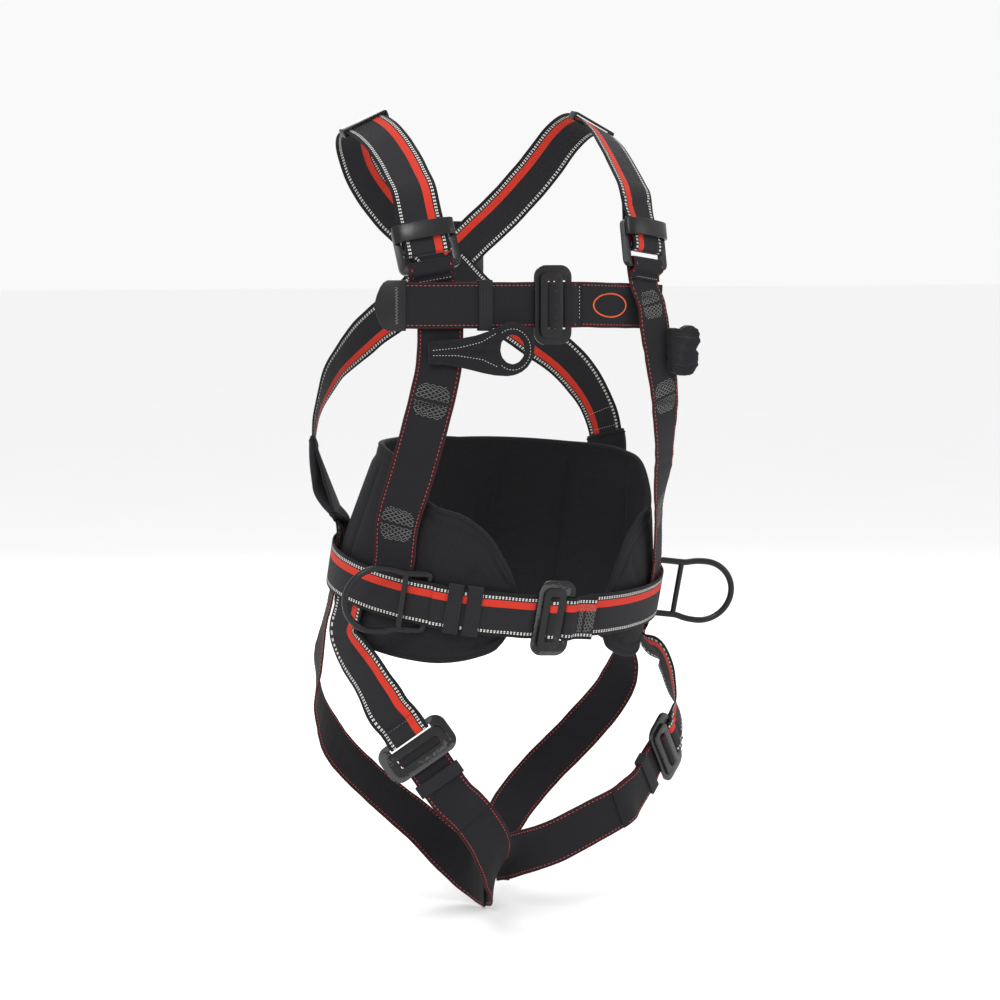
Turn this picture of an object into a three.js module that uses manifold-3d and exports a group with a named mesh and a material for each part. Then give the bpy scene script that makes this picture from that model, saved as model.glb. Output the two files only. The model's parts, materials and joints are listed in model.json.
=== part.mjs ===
// Full-body safety harness in its worn shape. Millimetres, +Z up, -Y is the wearer's front, +X the wearer's left.
// The origin is on the wearer's upright axis, level with the lowest fold of the leg straps.
import * as THREE from 'three';
import { mergeVertices } from 'three/addons/utils/BufferGeometryUtils.js';
import Module from 'manifold-3d';

const wasm = await Module();
wasm.setup();

// Webbing
const WEB = 45;
const WEB_T = 2;
const HALF_T = WEB_T / 2;
const PLY = WEB_T + 0.4;
const GAP = 0.4;
const STEP = 15;
const BEND = 1.4;

// Wearer's waist, in the tilted plane of the belt
const WAIST_Z = 348;
const BELT_PITCH = THREE.MathUtils.degToRad(13);
const BELT_ROLL = THREE.MathUtils.degToRad(3.7);
const WAIST_A = 161;
const WAIST_B = 111;
const BELT_OFF = 18.4;
const FRONT_OFF = 21;
const TUCK_OFF = 12.2;
const OVER_OFF = 14;
const PAD_T = 10;
const PAD_LEAN = 0.2;
const PAD_TURN = 7.5;

// Side rings
const BAR_R = 3.25;
const RING_HALF = 29;
const RING_SLOT = 25;
const RING_EYE = 51;
const RING_BULGE = 32.5;
const RING_OFF = 13.7;
const RIGHT_RING_DEG = -43;
const LEFT_RING_DEG = 76;
const RIGHT_RING_SWING = 65;
const LEFT_RING_SWING = 4;

// Pass-through buckles: u along the strap, v across it, w out from the body
const PLATE_U = 40;
const PLATE_V = 78;
const PLATE_W = 3;
const PLATE_LOW = 1.2;
const PLATE_CORNER = 12;
const WINDOW_V = 48;
const INNER_V = 64;
const INNER_W = 2.5;
const INNER_FROM = -15;
const INNER_TO = 9;
const BAR_U = -3;
const BAR_HALF = 1.6;
const RAIL_FROM = 14.2;
const LOAD_W = -2.6;
const TAIL_W = LOAD_W + PLY;

// Shoulder adjusters
const ADJ_V = 62;
const ADJ_CHEEK = 24.4;
const ADJ_TOP = 26;
const ADJ_LOW = -22;
const ADJ_ROLLER = 3.5;
const ADJ_ROLLER_W = 3;

const MATERIALS = {
  striped: new THREE.MeshStandardMaterial({ color: 0x3a3538, roughness: 0.85, metalness: 0 }),
  plain: new THREE.MeshStandardMaterial({ color: 0x2b292c, roughness: 0.88, metalness: 0 }),
  pad: new THREE.MeshStandardMaterial({ color: 0x252427, roughness: 0.9, metalness: 0 }),
  coated: new THREE.MeshStandardMaterial({ color: 0x1c1c1e, roughness: 0.42, metalness: 0.35 }),
  plastic: new THREE.MeshStandardMaterial({ color: 0x19191b, roughness: 0.38, metalness: 0 }),
  elastic: new THREE.MeshStandardMaterial({ color: 0x39383b, roughness: 0.82, metalness: 0 }),
};

const harness = new THREE.Group();
harness.name = 'safety_harness';

const vec = ([x, y, z]) => new THREE.Vector3(x, y, z);

// ---- placing ----

// A group whose local x runs along u, local z points out along w, and local y runs across.
function seat(origin, u, w, parent = harness) {
  const ux = vec(u).normalize();
  const wz = vec(w).addScaledVector(ux, -vec(w).dot(ux)).normalize();
  const vy = new THREE.Vector3().crossVectors(wz, ux);
  const group = new THREE.Group();
  group.quaternion.setFromRotationMatrix(new THREE.Matrix4().makeBasis(ux, vy, wz));
  group.position.set(...origin);
  parent.add(group);
  return group;
}

function addMesh(name, geometry, slot, parent = harness) {
  const mesh = new THREE.Mesh(geometry, MATERIALS[slot].clone());
  mesh.name = name;
  parent.add(mesh);
  return mesh;
}

// ---- booleans ----

function toSolid(geometry) {
  const bare = geometry.clone();
  bare.deleteAttribute('normal');
  bare.deleteAttribute('uv');
  const merged = mergeVertices(bare, 1e-4);
  return new wasm.Manifold(
    new wasm.Mesh({
      numProp: 3,
      vertProperties: new Float32Array(merged.attributes.position.array),
      triVerts: new Uint32Array(merged.index.array),
    }),
  );
}

function fromSolid(solid) {
  const mesh = solid.getMesh();
  const geometry = new THREE.BufferGeometry();
  geometry.setAttribute('position', new THREE.BufferAttribute(mesh.vertProperties, 3));
  geometry.setIndex(new THREE.BufferAttribute(mesh.triVerts, 1));
  return geometry;
}

const cut = (body, ...tools) => fromSolid(tools.reduce((s, t) => s.subtract(toSolid(t)), toSolid(body)));
const join = (...bodies) => fromSolid(bodies.map(toSolid).reduce((s, t) => s.add(t)));

// ---- strap paths: lists of { p, b }, a centre point and the direction across the strap ----

function route(points, step = STEP) {
  const centre = new THREE.CatmullRomCurve3(points.map((q) => vec(q)), false, 'centripetal');
  const across = points.map((q) => vec(q.slice(3)).normalize());
  across.forEach((b, i) => i > 0 && b.dot(across[i - 1]) < 0 && b.negate());
  const count = Math.max(2, Math.round(centre.getLength() / step));
  return Array.from({ length: count + 1 }, (_, i) => {
    const t = centre.getUtoTmapping(i / count);
    const f = t * (points.length - 1);
    const k = Math.min(points.length - 2, Math.floor(f));
    const b = across[k].clone().lerp(across[k + 1], THREE.MathUtils.smoothstep(f - k, 0, 1)).normalize();
    return { p: centre.getPoint(t), b };
  });
}

// A flat profile of [u, w] points with its corners rounded, laid in a seat's u-w plane.
function folded(group, corners, radius = BEND) {
  group.updateMatrixWorld(true);
  const outline = [];
  corners.forEach((c, i) => {
    const at = new THREE.Vector2(...c);
    if (i === 0 || i === corners.length - 1) {
      outline.push(at);
      return;
    }
    const before = new THREE.Vector2(...corners[i - 1]).sub(at).normalize();
    const after = new THREE.Vector2(...corners[i + 1]).sub(at).normalize();
    const half = Math.acos(THREE.MathUtils.clamp(before.dot(after), -1, 1)) / 2;
    const reach = radius / Math.tan(half);
    const start = at.clone().addScaledVector(before, reach);
    const end = at.clone().addScaledVector(after, reach);
    const hub = at.clone().addScaledVector(before.clone().add(after).normalize(), radius / Math.sin(half));
    const from = start.clone().sub(hub);
    const to = end.clone().sub(hub);
    const turn = Math.atan2(from.cross(to), from.dot(to));
    const pieces = Math.max(1, Math.round(Math.abs(turn) / THREE.MathUtils.degToRad(32)));
    for (let k = 0; k <= pieces; k += 1) {
      outline.push(from.clone().rotateAround(new THREE.Vector2(), (turn * k) / pieces).add(hub));
    }
  });
  const b = new THREE.Vector3(0, 1, 0).transformDirection(group.matrixWorld);
  return outline.map((q) => ({
    p: new THREE.Vector3(q.x, 0, q.y).applyMatrix4(group.matrixWorld),
    b: b.clone(),
  }));
}

function tangents(stations) {
  return stations.map((s, i) => {
    const a = stations[Math.max(0, i - 1)].p;
    const c = stations[Math.min(stations.length - 1, i + 1)].p;
    return new THREE.Vector3().subVectors(c, a).normalize();
  });
}

// Each station's direction across is turned to agree with the next one's, back from the path's end.
function combed(stations) {
  const out = stations.map((s) => ({ p: s.p, b: s.b.clone() }));
  for (let i = out.length - 2; i >= 0; i -= 1) {
    if (out[i].b.dot(out[i + 1].b) < 0) out[i].b.negate();
  }
  return out;
}

function frames(given) {
  const stations = combed(given);
  const leg = (i) => new THREE.Vector3().subVectors(stations[i + 1].p, stations[i].p).normalize();
  const last = stations.length - 1;
  return tangents(stations).map((t, i) => {
    const b = stations[i].b.clone().addScaledVector(t, -stations[i].b.dot(t)).normalize();
    const nIn = new THREE.Vector3().crossVectors(leg(Math.max(0, i - 1)), b).normalize();
    const nOut = new THREE.Vector3().crossVectors(leg(Math.min(last - 1, i)), b).normalize();
    const n = nIn.clone().add(nOut).divideScalar(1 + nIn.dot(nOut));
    return { p: stations[i].p, t, b, n };
  });
}

// The same path moved off its face.
const shifted = (stations, off) => frames(stations).map((f) => ({
  p: f.p.clone().addScaledVector(f.n, off),
  b: f.b.clone(),
}));

const lengthOf = (stations) => stations.reduce((sum, s, i) => sum + (i ? s.p.distanceTo(stations[i - 1].p) : 0), 0);

function frameAt(stations, distance) {
  const all = frames(stations);
  let run = 0;
  for (let i = 1; i < all.length; i += 1) {
    const piece = all[i].p.distanceTo(all[i - 1].p);
    if (run + piece >= distance || i === all.length - 1) {
      const k = (distance - run) / piece;
      const mix = (key) => all[i - 1][key].clone().lerp(all[i][key], k);
      return { p: mix('p'), t: mix('t').normalize(), b: mix('b').normalize(), n: mix('n').normalize() };
    }
    run += piece;
  }
  return all[0];
}

// The path cut off at a distance from its start.
function upTo(stations, distance) {
  const out = [stations[0]];
  let run = 0;
  for (let i = 1; i < stations.length; i += 1) {
    const piece = stations[i].p.distanceTo(stations[i - 1].p);
    if (run + piece >= distance) {
      const k = (distance - run) / piece;
      out.push({
        p: stations[i - 1].p.clone().lerp(stations[i].p, k),
        b: stations[i - 1].b.clone().lerp(stations[i].b, k).normalize(),
      });
      return out;
    }
    run += piece;
    out.push(stations[i]);
  }
  return out;
}

// A box bent along a path: x across the strap, y through it, z along it.
function bent(stations, width, thickness, shape = () => 1) {
  const all = frames(stations);
  const count = all.length - 1;
  const geometry = new THREE.BoxGeometry(1, 1, count, 1, 1, count);
  const at = geometry.attributes.position;
  for (let i = 0; i < at.count; i += 1) {
    const k = Math.round(at.getZ(i) + count / 2);
    const f = all[k];
    const grow = shape(k / count);
    const q = f.p.clone()
      .addScaledVector(f.b, at.getX(i) * width * grow)
      .addScaledVector(f.n, at.getY(i) * thickness * grow);
    at.setXYZ(i, q.x, q.y, q.z);
  }
  matchDiagonals(geometry);
  return geometry;
}

// Turns the lower face's diagonals to match the upper face's, so that a twisted strap keeps its thickness.
function matchDiagonals(geometry) {
  const lower = geometry.groups[3];
  const index = geometry.index;
  for (let i = lower.start; i < lower.start + lower.count; i += 6) {
    const [a, b, d, , c] = Array.from({ length: 5 }, (_, k) => index.getX(i + k));
    [a, b, c, a, c, d].forEach((corner, k) => index.setX(i + k, corner));
  }
}

function strap(name, stations, slot, parent = harness, width = WEB) {
  return addMesh(name, bent(stations, width, WEB_T), slot, parent);
}

// ---- flat shapes ----

function roundedRect(w, h, r, cx = 0, cy = 0, Kind = THREE.Shape) {
  const s = new Kind();
  const x0 = cx - w / 2;
  const x1 = cx + w / 2;
  const y0 = cy - h / 2;
  const y1 = cy + h / 2;
  s.moveTo(x0 + r, y0);
  s.lineTo(x1 - r, y0);
  s.absarc(x1 - r, y0 + r, r, -Math.PI / 2, 0, false);
  s.lineTo(x1, y1 - r);
  s.absarc(x1 - r, y1 - r, r, 0, Math.PI / 2, false);
  s.lineTo(x0 + r, y1);
  s.absarc(x0 + r, y1 - r, r, Math.PI / 2, Math.PI, false);
  s.lineTo(x0, y0 + r);
  s.absarc(x0 + r, y0 + r, r, Math.PI, 1.5 * Math.PI, false);
  return s;
}

function slab(shape, depth, low, curveSegments = 4) {
  const g = new THREE.ExtrudeGeometry(shape, { depth, bevelEnabled: false, curveSegments });
  return g.translate(0, 0, low);
}

// A band round a strap: a rectangular tube whose hole runs along local x.
function band(length, innerV, innerW, wall) {
  const s = roundedRect(innerV + 2 * wall, innerW + 2 * wall, wall);
  s.holes.push(roundedRect(innerV, innerW, 0.4, 0, 0, THREE.Path));
  const g = new THREE.ExtrudeGeometry(s, { depth: length, bevelEnabled: false, curveSegments: 2 });
  g.translate(0, 0, -length / 2);
  g.applyMatrix4(new THREE.Matrix4().makeBasis(vec([0, 1, 0]), vec([0, 0, 1]), vec([1, 0, 0])));
  return g;
}

function keeper(name, frame, lift, length, plies, clearance, wall, slot) {
  const centre = frame.p.clone().addScaledVector(frame.n, lift);
  const group = seat(centre.toArray(), frame.t.toArray(), frame.n.toArray());
  const innerW = WEB_T + PLY * (plies - 1) + 2 * clearance;
  return addMesh(name, band(length, WEB + 2.2, innerW, wall), slot, group);
}

// ---- pass-through buckle ----

function passBuckle(name, group) {
  const outer = roundedRect(PLATE_U, PLATE_V, PLATE_CORNER);
  const left = INNER_FROM + 3;
  const right = INNER_TO - 4;
  outer.holes.push(roundedRect(right - left, WINDOW_V, 2, (left + right) / 2, 0, THREE.Path));
  const slotFrom = RAIL_FROM - 4;
  outer.holes.push(roundedRect(RAIL_FROM - slotFrom, WINDOW_V, 1, (RAIL_FROM + slotFrom) / 2, 0, THREE.Path));
  addMesh(`${name}_frame`, slab(outer, PLATE_W, PLATE_LOW, 4), 'coated', group);

  const inner = roundedRect(INNER_TO - INNER_FROM, INNER_V, 7, (INNER_TO + INNER_FROM) / 2);
  const half = BAR_HALF + GAP + WEB_T + GAP;
  [-1, 1].forEach((side) => {
    const from = BAR_U + side * BAR_HALF;
    const to = BAR_U + side * half;
    inner.holes.push(roundedRect(half - BAR_HALF, WINDOW_V - 1, 0.8, (from + to) / 2, 0, THREE.Path));
  });
  addMesh(`${name}_bar`, slab(inner, INNER_W, PLATE_LOW + PLATE_W + GAP, 3), 'coated', group);
}

// The fold of the adjusting strap: in under the plates, up round the bar and out again as the tail.
function adjustFold(group, reach) {
  const riser = BAR_HALF + GAP + HALF_T;
  const top = PLATE_LOW + PLATE_W + GAP + INNER_W + GAP + HALF_T;
  return folded(group, [
    [-reach, LOAD_W],
    [BAR_U + riser, LOAD_W],
    [BAR_U + riser, top],
    [BAR_U - riser, top],
    [BAR_U - riser, TAIL_W],
    [-reach, TAIL_W],
  ]);
}

// The sewn loop round the buckle's outer rail, from its stitched end to the strap that leaves it.
function sewnLoop(group, lap, reach) {
  const low = PLATE_LOW - GAP - HALF_T;
  const high = PLATE_LOW + PLATE_W + GAP + HALF_T;
  const riser = RAIL_FROM - GAP - HALF_T;
  const edge = PLATE_U / 2 + 2;
  return folded(group, [
    [lap, low + PLY],
    [edge + 4, low + PLY],
    [edge - 0.6, high],
    [riser, high],
    [riser, low],
    [reach, low],
  ]);
}

// ---- the belt, in its own tilted plane ----

const waist = new THREE.Group();
waist.position.set(0, 0, WAIST_Z);
waist.rotation.set(BELT_PITCH, BELT_ROLL, 0);
harness.add(waist);
waist.updateMatrixWorld(true);
const toWorld = (q) => q.applyMatrix4(waist.matrixWorld);
const turned = (q) => q.transformDirection(waist.matrixWorld);

const rad = THREE.MathUtils.degToRad;

function waistPoint(deg, off, z = 0) {
  return new THREE.Vector3((WAIST_A + off) * Math.sin(rad(deg)), -(WAIST_B + off) * Math.cos(rad(deg)), z);
}

function waistNormal(deg) {
  return new THREE.Vector3(Math.sin(rad(deg)) / WAIST_A, -Math.cos(rad(deg)) / WAIST_B, 0).normalize();
}

// A route point on the pad's outer face, under the belt: angle, height over the belt's centre line.
function tuck(deg, z, off = TUCK_OFF) {
  const lean = PAD_LEAN * Math.max(0, z - WEB / 2);
  const p = toWorld(waistPoint(deg, off - lean, z));
  const across = new THREE.Vector3((WAIST_A + off) * Math.cos(rad(deg)), (WAIST_B + off) * Math.sin(rad(deg)), 0);
  return [...p.toArray(), ...turned(across).toArray()];
}

// Belt path from one angle to another, in the harness's frame.
function beltRoute(fromDeg, toDeg, stepDeg) {
  const count = Math.round(Math.abs(toDeg - fromDeg) / stepDeg);
  return Array.from({ length: count + 1 }, (_, i) => {
    const deg = fromDeg + ((toDeg - fromDeg) * i) / count;
    return { p: toWorld(waistPoint(deg, BELT_OFF)), b: turned(new THREE.Vector3(0, 0, 1)) };
  });
}

const beltSeat = seat(
  toWorld(waistPoint(0, FRONT_OFF)).toArray(),
  turned(new THREE.Vector3(1, 0, 0)).toArray(),
  turned(new THREE.Vector3(0, -1, 0)).toArray(),
);
passBuckle('belt_buckle', beltSeat);

const BELT_REACH = 26;
const beltLoad = beltRoute(-178, -14, 6);
const beltTail = 80;
const beltFold = adjustFold(beltSeat, BELT_REACH);
const beltBack = upTo(shifted(beltLoad, PLY).reverse(), beltTail);
strap('belt_strap_right', [...beltLoad, ...beltFold, ...beltBack], 'striped');
strap('belt_strap_left', [...sewnLoop(beltSeat, 47, BELT_REACH + 4), ...beltRoute(15, 179, 6)], 'striped');

const beltPath = beltLoad.slice().reverse();
const KEEPER_L = 15;
const KEEPER_FROM = 38;
const KEEPER_PITCH = 19;
['front', 'rear'].forEach((place, i) => {
  const f = frameAt(beltPath, KEEPER_FROM + i * KEEPER_PITCH);
  f.t.negate();
  f.n.negate();
  keeper(`belt_keeper_${place}`, f, PLY / 2, KEEPER_L, 2, 1.1, 1.3, 'elastic');
});

// Waist pad: [degrees from its front centre, top edge, bottom edge]
const PAD_EDGE = [
  [20, 16, -18],
  [24, 40, -38],
  [31, 66, -50],
  [42, 84, -59],
  [56, 90, -62],
  [70, 104, -62],
  [84, 124, -61],
  [100, 128, -60],
  [135, 122, -58],
  [180, 116, -56],
];

function padEdge(deg, key) {
  const a = Math.min(180, Math.abs(deg));
  const i = Math.max(1, PAD_EDGE.findIndex((row) => row[0] >= a));
  const [a0, a1] = [PAD_EDGE[i - 1][0], PAD_EDGE[i][0]];
  return THREE.MathUtils.lerp(PAD_EDGE[i - 1][key], PAD_EDGE[i][key], (a - a0) / (a1 - a0));
}

const PAD_COLUMNS = 44;
const PAD_ROWS = 4;
const PAD_SPAN = 320;
const padGeometry = new THREE.BoxGeometry(1, 1, 1, PAD_COLUMNS, 1, PAD_ROWS);
for (let i = 0, at = padGeometry.attributes.position; i < at.count; i += 1) {
  const around = 180 - at.getX(i) * PAD_SPAN;
  const high = padEdge(around > 180 ? 360 - around : around, 1);
  const low = padEdge(around > 180 ? 360 - around : around, 2);
  const z = THREE.MathUtils.lerp(low, high, at.getZ(i) + 0.5);
  const deg = around + PAD_TURN;
  const lean = -PAD_LEAN * Math.max(0, z - WEB / 2);
  const out = (0.5 + at.getY(i)) * PAD_T + lean;
  const q = waistPoint(deg, out, z);
  at.setXYZ(i, q.x, q.y, q.z);
}
addMesh('waist_pad', padGeometry, 'pad', waist);

// ---- side rings: a round bar bent to a belt slot and a rounded eye, hinged on its slot bar ----

function ringLoop(points) {
  const path = new THREE.Path();
  path.moveTo(0, -RING_HALF + 5);
  path.lineTo(0, RING_HALF - 5);
  path.quadraticCurveTo(0, RING_HALF, 5, RING_HALF);
  path.lineTo(RING_SLOT, RING_HALF);
  path.bezierCurveTo(RING_SLOT + 8, RING_HALF, RING_EYE - 16, RING_BULGE, RING_EYE, RING_BULGE);
  path.absarc(RING_EYE, 0, RING_BULGE, Math.PI / 2, -Math.PI / 2, true);
  path.bezierCurveTo(RING_EYE - 16, -RING_BULGE, RING_SLOT + 8, -RING_HALF, RING_SLOT, -RING_HALF);
  path.lineTo(5, -RING_HALF);
  path.quadraticCurveTo(0, -RING_HALF, 0, -RING_HALF + 5);
  return path.getSpacedPoints(points).slice(0, points).reverse();
}

// A closed bar: a torus bent to follow a flat closed outline in local x-y.
function closedBar(outline, radius, sides) {
  const count = outline.length;
  const geometry = new THREE.TorusGeometry(10, radius, sides, count);
  const at = geometry.attributes.position;
  for (let i = 0; i < at.count; i += 1) {
    const x = at.getX(i);
    const y = at.getY(i);
    const angle = (Math.atan2(y, x) + 2 * Math.PI) % (2 * Math.PI);
    const k = Math.round((angle * count) / (2 * Math.PI)) % count;
    const ahead = outline[(k + 1) % count];
    const behind = outline[(k + count - 1) % count];
    const t = ahead.clone().sub(behind).normalize();
    const off = Math.hypot(x, y) - 10;
    at.setXY(i, outline[k].x + t.y * off, outline[k].y - t.x * off);
  }
  return geometry;
}

function barBetween(radius, length, sides) {
  return new THREE.CylinderGeometry(radius, radius, length, sides);
}

function sideRing(name, deg, swing) {
  const normal = waistNormal(deg);
  const direction = normal.clone().applyAxisAngle(new THREE.Vector3(0, 0, 1), rad(swing));
  const side = new THREE.Vector3().crossVectors(direction, new THREE.Vector3(0, 0, 1));
  const group = seat(waistPoint(deg, RING_OFF).toArray(), direction.toArray(), side.toArray(), waist);
  const loop = closedBar(ringLoop(38), BAR_R, 8);
  const cross = barBetween(BAR_R - 0.4, 2 * RING_HALF, 8).translate(RING_SLOT, 0, 0);
  return addMesh(name, join(loop, cross), 'coated', group);
}
sideRing('side_ring_right', RIGHT_RING_DEG, -RIGHT_RING_SWING);
sideRing('side_ring_left', LEFT_RING_DEG, LEFT_RING_SWING);

// ---- shoulder adjusters ----

function adjuster(name, group) {
  const outer = roundedRect(ADJ_TOP - ADJ_LOW, ADJ_V, 7, (ADJ_TOP + ADJ_LOW) / 2);
  const inner = ADJ_TOP - 6 - (ADJ_LOW + 8);
  outer.holes.push(roundedRect(inner, 2 * ADJ_CHEEK, 1.5, ADJ_LOW + 8 + inner / 2, 0, THREE.Path));
  const open = ADJ_TOP + 1;
  const frame = slab(outer, 6, -1, 3);
  const gate = slab(roundedRect(8, 2 * ADJ_CHEEK, 0.5, open - 4), 8, -2, 1);
  addMesh(`${name}_frame`, cut(frame, gate), 'coated', group);

  const roller = barBetween(ADJ_ROLLER, 2 * ADJ_CHEEK - 0.8, 10).translate(0, 0, ADJ_ROLLER_W);
  addMesh(`${name}_bar`, roller, 'coated', group);

  const arch = new THREE.Shape();
  const foot = ADJ_V / 2;
  arch.moveTo(-foot, 5.4);
  arch.lineTo(-ADJ_CHEEK - 0.4, 5.4);
  arch.bezierCurveTo(-ADJ_CHEEK, 11.8, -17, 12.6, 0, 12.8);
  arch.bezierCurveTo(17, 12.6, ADJ_CHEEK, 11.8, ADJ_CHEEK + 0.4, 5.4);
  arch.lineTo(foot, 5.4);
  arch.bezierCurveTo(foot, 13.4, 20, 15.2, 0, 15.4);
  arch.bezierCurveTo(-20, 15.2, -foot, 13.4, -foot, 5.4);
  const cover = new THREE.ExtrudeGeometry(arch, { depth: 17, bevelEnabled: false, curveSegments: 6 });
  cover.applyMatrix4(new THREE.Matrix4().makeBasis(vec([0, 1, 0]), vec([0, 0, 1]), vec([1, 0, 0])));
  addMesh(`${name}_cover`, cover.translate(9, 0, 0), 'plastic', group);
}

// The striped strap's turn round the roller: down over it and back up behind.
function rollerTurn(group, reach, tail) {
  const r = ADJ_ROLLER + GAP + HALF_T;
  return folded(group, [
    [reach, ADJ_ROLLER_W - r + PLY + 1],
    [20, ADJ_ROLLER_W + r - 2.2],
    [8, ADJ_ROLLER_W + r],
    [-r, ADJ_ROLLER_W + r],
    [-r, ADJ_ROLLER_W - r],
    [tail, ADJ_ROLLER_W - r],
  ], 3.4);
}

function railLoop(group, lap, reach) {
  const rail = ADJ_LOW + 8;
  const riser = rail + GAP + HALF_T;
  const low = -1 - GAP - HALF_T;
  const high = 5 + GAP + HALF_T;
  return folded(group, [
    [-lap, low + PLY],
    [ADJ_LOW - 5, low + PLY],
    [ADJ_LOW - 1.5, high],
    [riser, high],
    [riser, low],
    [-reach, low],
  ]);
}

const ADJUSTERS = {
  right: { at: [-121, -97, 682], up: [-0.1, 0.28, 0.95], out: [-0.3, -0.9, 0.3] },
  left: { at: [111, -107, 684], up: [0.02, 0.24, 0.96], out: [0.39, -0.88, 0.28] },
};

// Routes: x, y, z of the centre line, then the direction across the strap
const SHOULDER = {
  right: [
    [-126, -74, 744, 0.95, -0.2, 0.25],
    [-127, -38, 774, 0.93, -0.1, 0.36],
    [-129, 2, 798, 0.9, 0, 0.43],
    [-130, 50, 810, 0.9, 0, 0.45],
    [-124, 84, 800, 0.88, 0.1, 0.45],
    [-102, 112, 762, 0.8, 0.15, 0.55],
    [-66, 125, 722, 0.75, 0.06, 0.66],
    [-36, 127.5, 697, 0.72, 0, 0.69],
    [-6, 127.5, 670, 0.72, 0, 0.69],
  ],
  left: [
    [114, -81, 746, 0.95, 0.2, -0.25],
    [118, -38, 778, 0.93, 0.1, -0.36],
    [122, 2, 801, 0.9, 0, -0.43],
    [124, 50, 814, 0.9, 0, -0.45],
    [119, 84, 803, 0.88, -0.1, -0.45],
    [99, 113, 764, 0.8, -0.15, -0.55],
    [66, 127, 724, 0.75, -0.06, -0.66],
    [36, 130.3, 697, 0.72, 0, -0.69],
    [6, 130.3, 670, 0.72, 0, -0.69],
  ],
};

const FRONT = {
  right: [
    [-112, -109, 628, 0.945, -0.327, 0],
    [-112, -109.5, 600, 0.94, -0.34, 0.05],
    [-115, -112, 568, 0.92, -0.38, 0.12],
    [-122, -110, 534, 0.88, -0.42, 0.2],
    [-135, -97, 470, 0.8, -0.55, 0.25],
    [-145, -78, 412, 0.7, -0.68, 0.2],
    tuck(-59, 36, OVER_OFF),
    tuck(-59, 8),
  ],
  left: [
    [116, -119, 625, 0.92, 0.39, 0],
    [119.5, -120, 600, 0.93, 0.36, -0.04],
    [126, -119.5, 568, 0.92, 0.38, -0.12],
    [134, -114, 534, 0.88, 0.45, -0.12],
    [141, -100, 470, 0.75, 0.65, -0.1],
    [148, -76, 412, 0.58, 0.81, -0.05],
    tuck(61, 36, OVER_OFF),
    tuck(61, 8),
  ],
};

['right', 'left'].forEach((side) => {
  const { at, up, out } = ADJUSTERS[side];
  const group = seat(at, up, out);
  adjuster(`shoulder_adjuster_${side}`, group);
  const turn = rollerTurn(group, 30, 52);
  strap(`shoulder_strap_${side}`, [...turn.reverse(), ...route(SHOULDER[side])], 'striped');
  strap(`front_strap_${side}`, [...railLoop(group, 33, 36), ...route(FRONT[side])], 'plain');
  const crest = frameAt(route(SHOULDER[side]), 132);
  keeper(`shoulder_slider_${side}`, crest, 0, 12, 1, 1.3, 2.2, 'plastic');
});

// ---- chest strap ----

const chestSeat = seat([-2, -131, 628], [1, 0, 0], [0, -1, 0]);
passBuckle('chest_buckle', chestSeat);
const CHEST_RIGHT = [
  [-130, -108.4, 628, 0, 0, 1],
  [-112, -114.2, 628, 0, 0, 1],
  [-75, -123.4, 628, 0, 0, 1],
  [-40, -127.8, 628, 0, 0, 1],
  [-28, -128.4, 628, 0, 0, 1],
];
const CHEST_TAIL = [
  [-28, -130.8, 628, 0, 0, 1],
  [-40, -130.3, 628, 0, 0, 1],
  [-75, -126.2, 628, 0, 0, 1],
  [-112, -117.2, 628, 0, 0, 1],
  [-148, -104, 628, 0, 0, 1],
  [-160, -98.6, 628, 0, 0, 1],
];
const CHEST_LEFT = [
  [32, -131.2, 628, 0, 0, 1],
  [60, -127.5, 627, 0, 0, 1],
  [95, -115.5, 626, 0, 0, 1],
  [120, -105, 625, 0, 0, 1],
  [138, -97.5, 624, 0, 0, 1],
];
strap(
  'chest_strap_right',
  [...route(CHEST_RIGHT), ...adjustFold(chestSeat, 22), ...route(CHEST_TAIL)],
  'plain',
);
strap('chest_strap_left', [...sewnLoop(chestSeat, 31, 29), ...route(CHEST_LEFT)], 'plain');

const tailEnd = frameAt(route(CHEST_TAIL), lengthOf(route(CHEST_TAIL)) - 1);
const capSeat = seat(tailEnd.p.toArray(), tailEnd.t.toArray(), tailEnd.n.toArray());
const capShape = new THREE.Shape();
const CAP_V = 24.6;
capShape.moveTo(-14, -CAP_V);
capShape.lineTo(4, -CAP_V);
capShape.quadraticCurveTo(12, -CAP_V + 2, 17, 0);
capShape.quadraticCurveTo(12, CAP_V - 2, 4, CAP_V);
capShape.lineTo(-14, CAP_V);
capShape.closePath();
const capPocket = new THREE.BoxGeometry(20, WEB + 1, WEB_T + 0.9).translate(-8.4, 0, 0);
addMesh('chest_end_cap', cut(slab(capShape, 6, -3, 4), capPocket), 'plastic', capSeat);

const chestPath = route(CHEST_TAIL);
const chestKeeperAt = frameAt(chestPath, 44);
chestKeeperAt.t.negate();
keeper('chest_keeper', chestKeeperAt, 1.4, 13, 2, 2, 1.2, 'elastic');

// ---- chest loops: stitched webbing with an eye, on the inner edge of each front strap ----

function eyeLoop() {
  const s = new THREE.Shape();
  s.moveTo(0, -11);
  s.bezierCurveTo(34, -12, 50, -25, 76, -26);
  s.bezierCurveTo(92, -26, 104, -14, 104, 2);
  s.bezierCurveTo(104, 16, 94, 27, 80, 27);
  s.bezierCurveTo(72, 27, 62, 11, 0, 11);
  s.closePath();
  const eye = new THREE.Path();
  eye.absellipse(82, 0, 12, 14.5, 0, 2 * Math.PI, false, 0);
  s.holes.push(eye);
  return slab(s, 4.6, -2.3, 6);
}

const LOOP_AT = { right: [-127, -115, 582], left: [133.4, -124.6, 582] };
const loopRight = seat(LOOP_AT.right, [0.943, -0.333, 0.04], [-0.333, -0.943, 0]);
addMesh('chest_loop_right', eyeLoop(), 'plain', loopRight);

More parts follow.
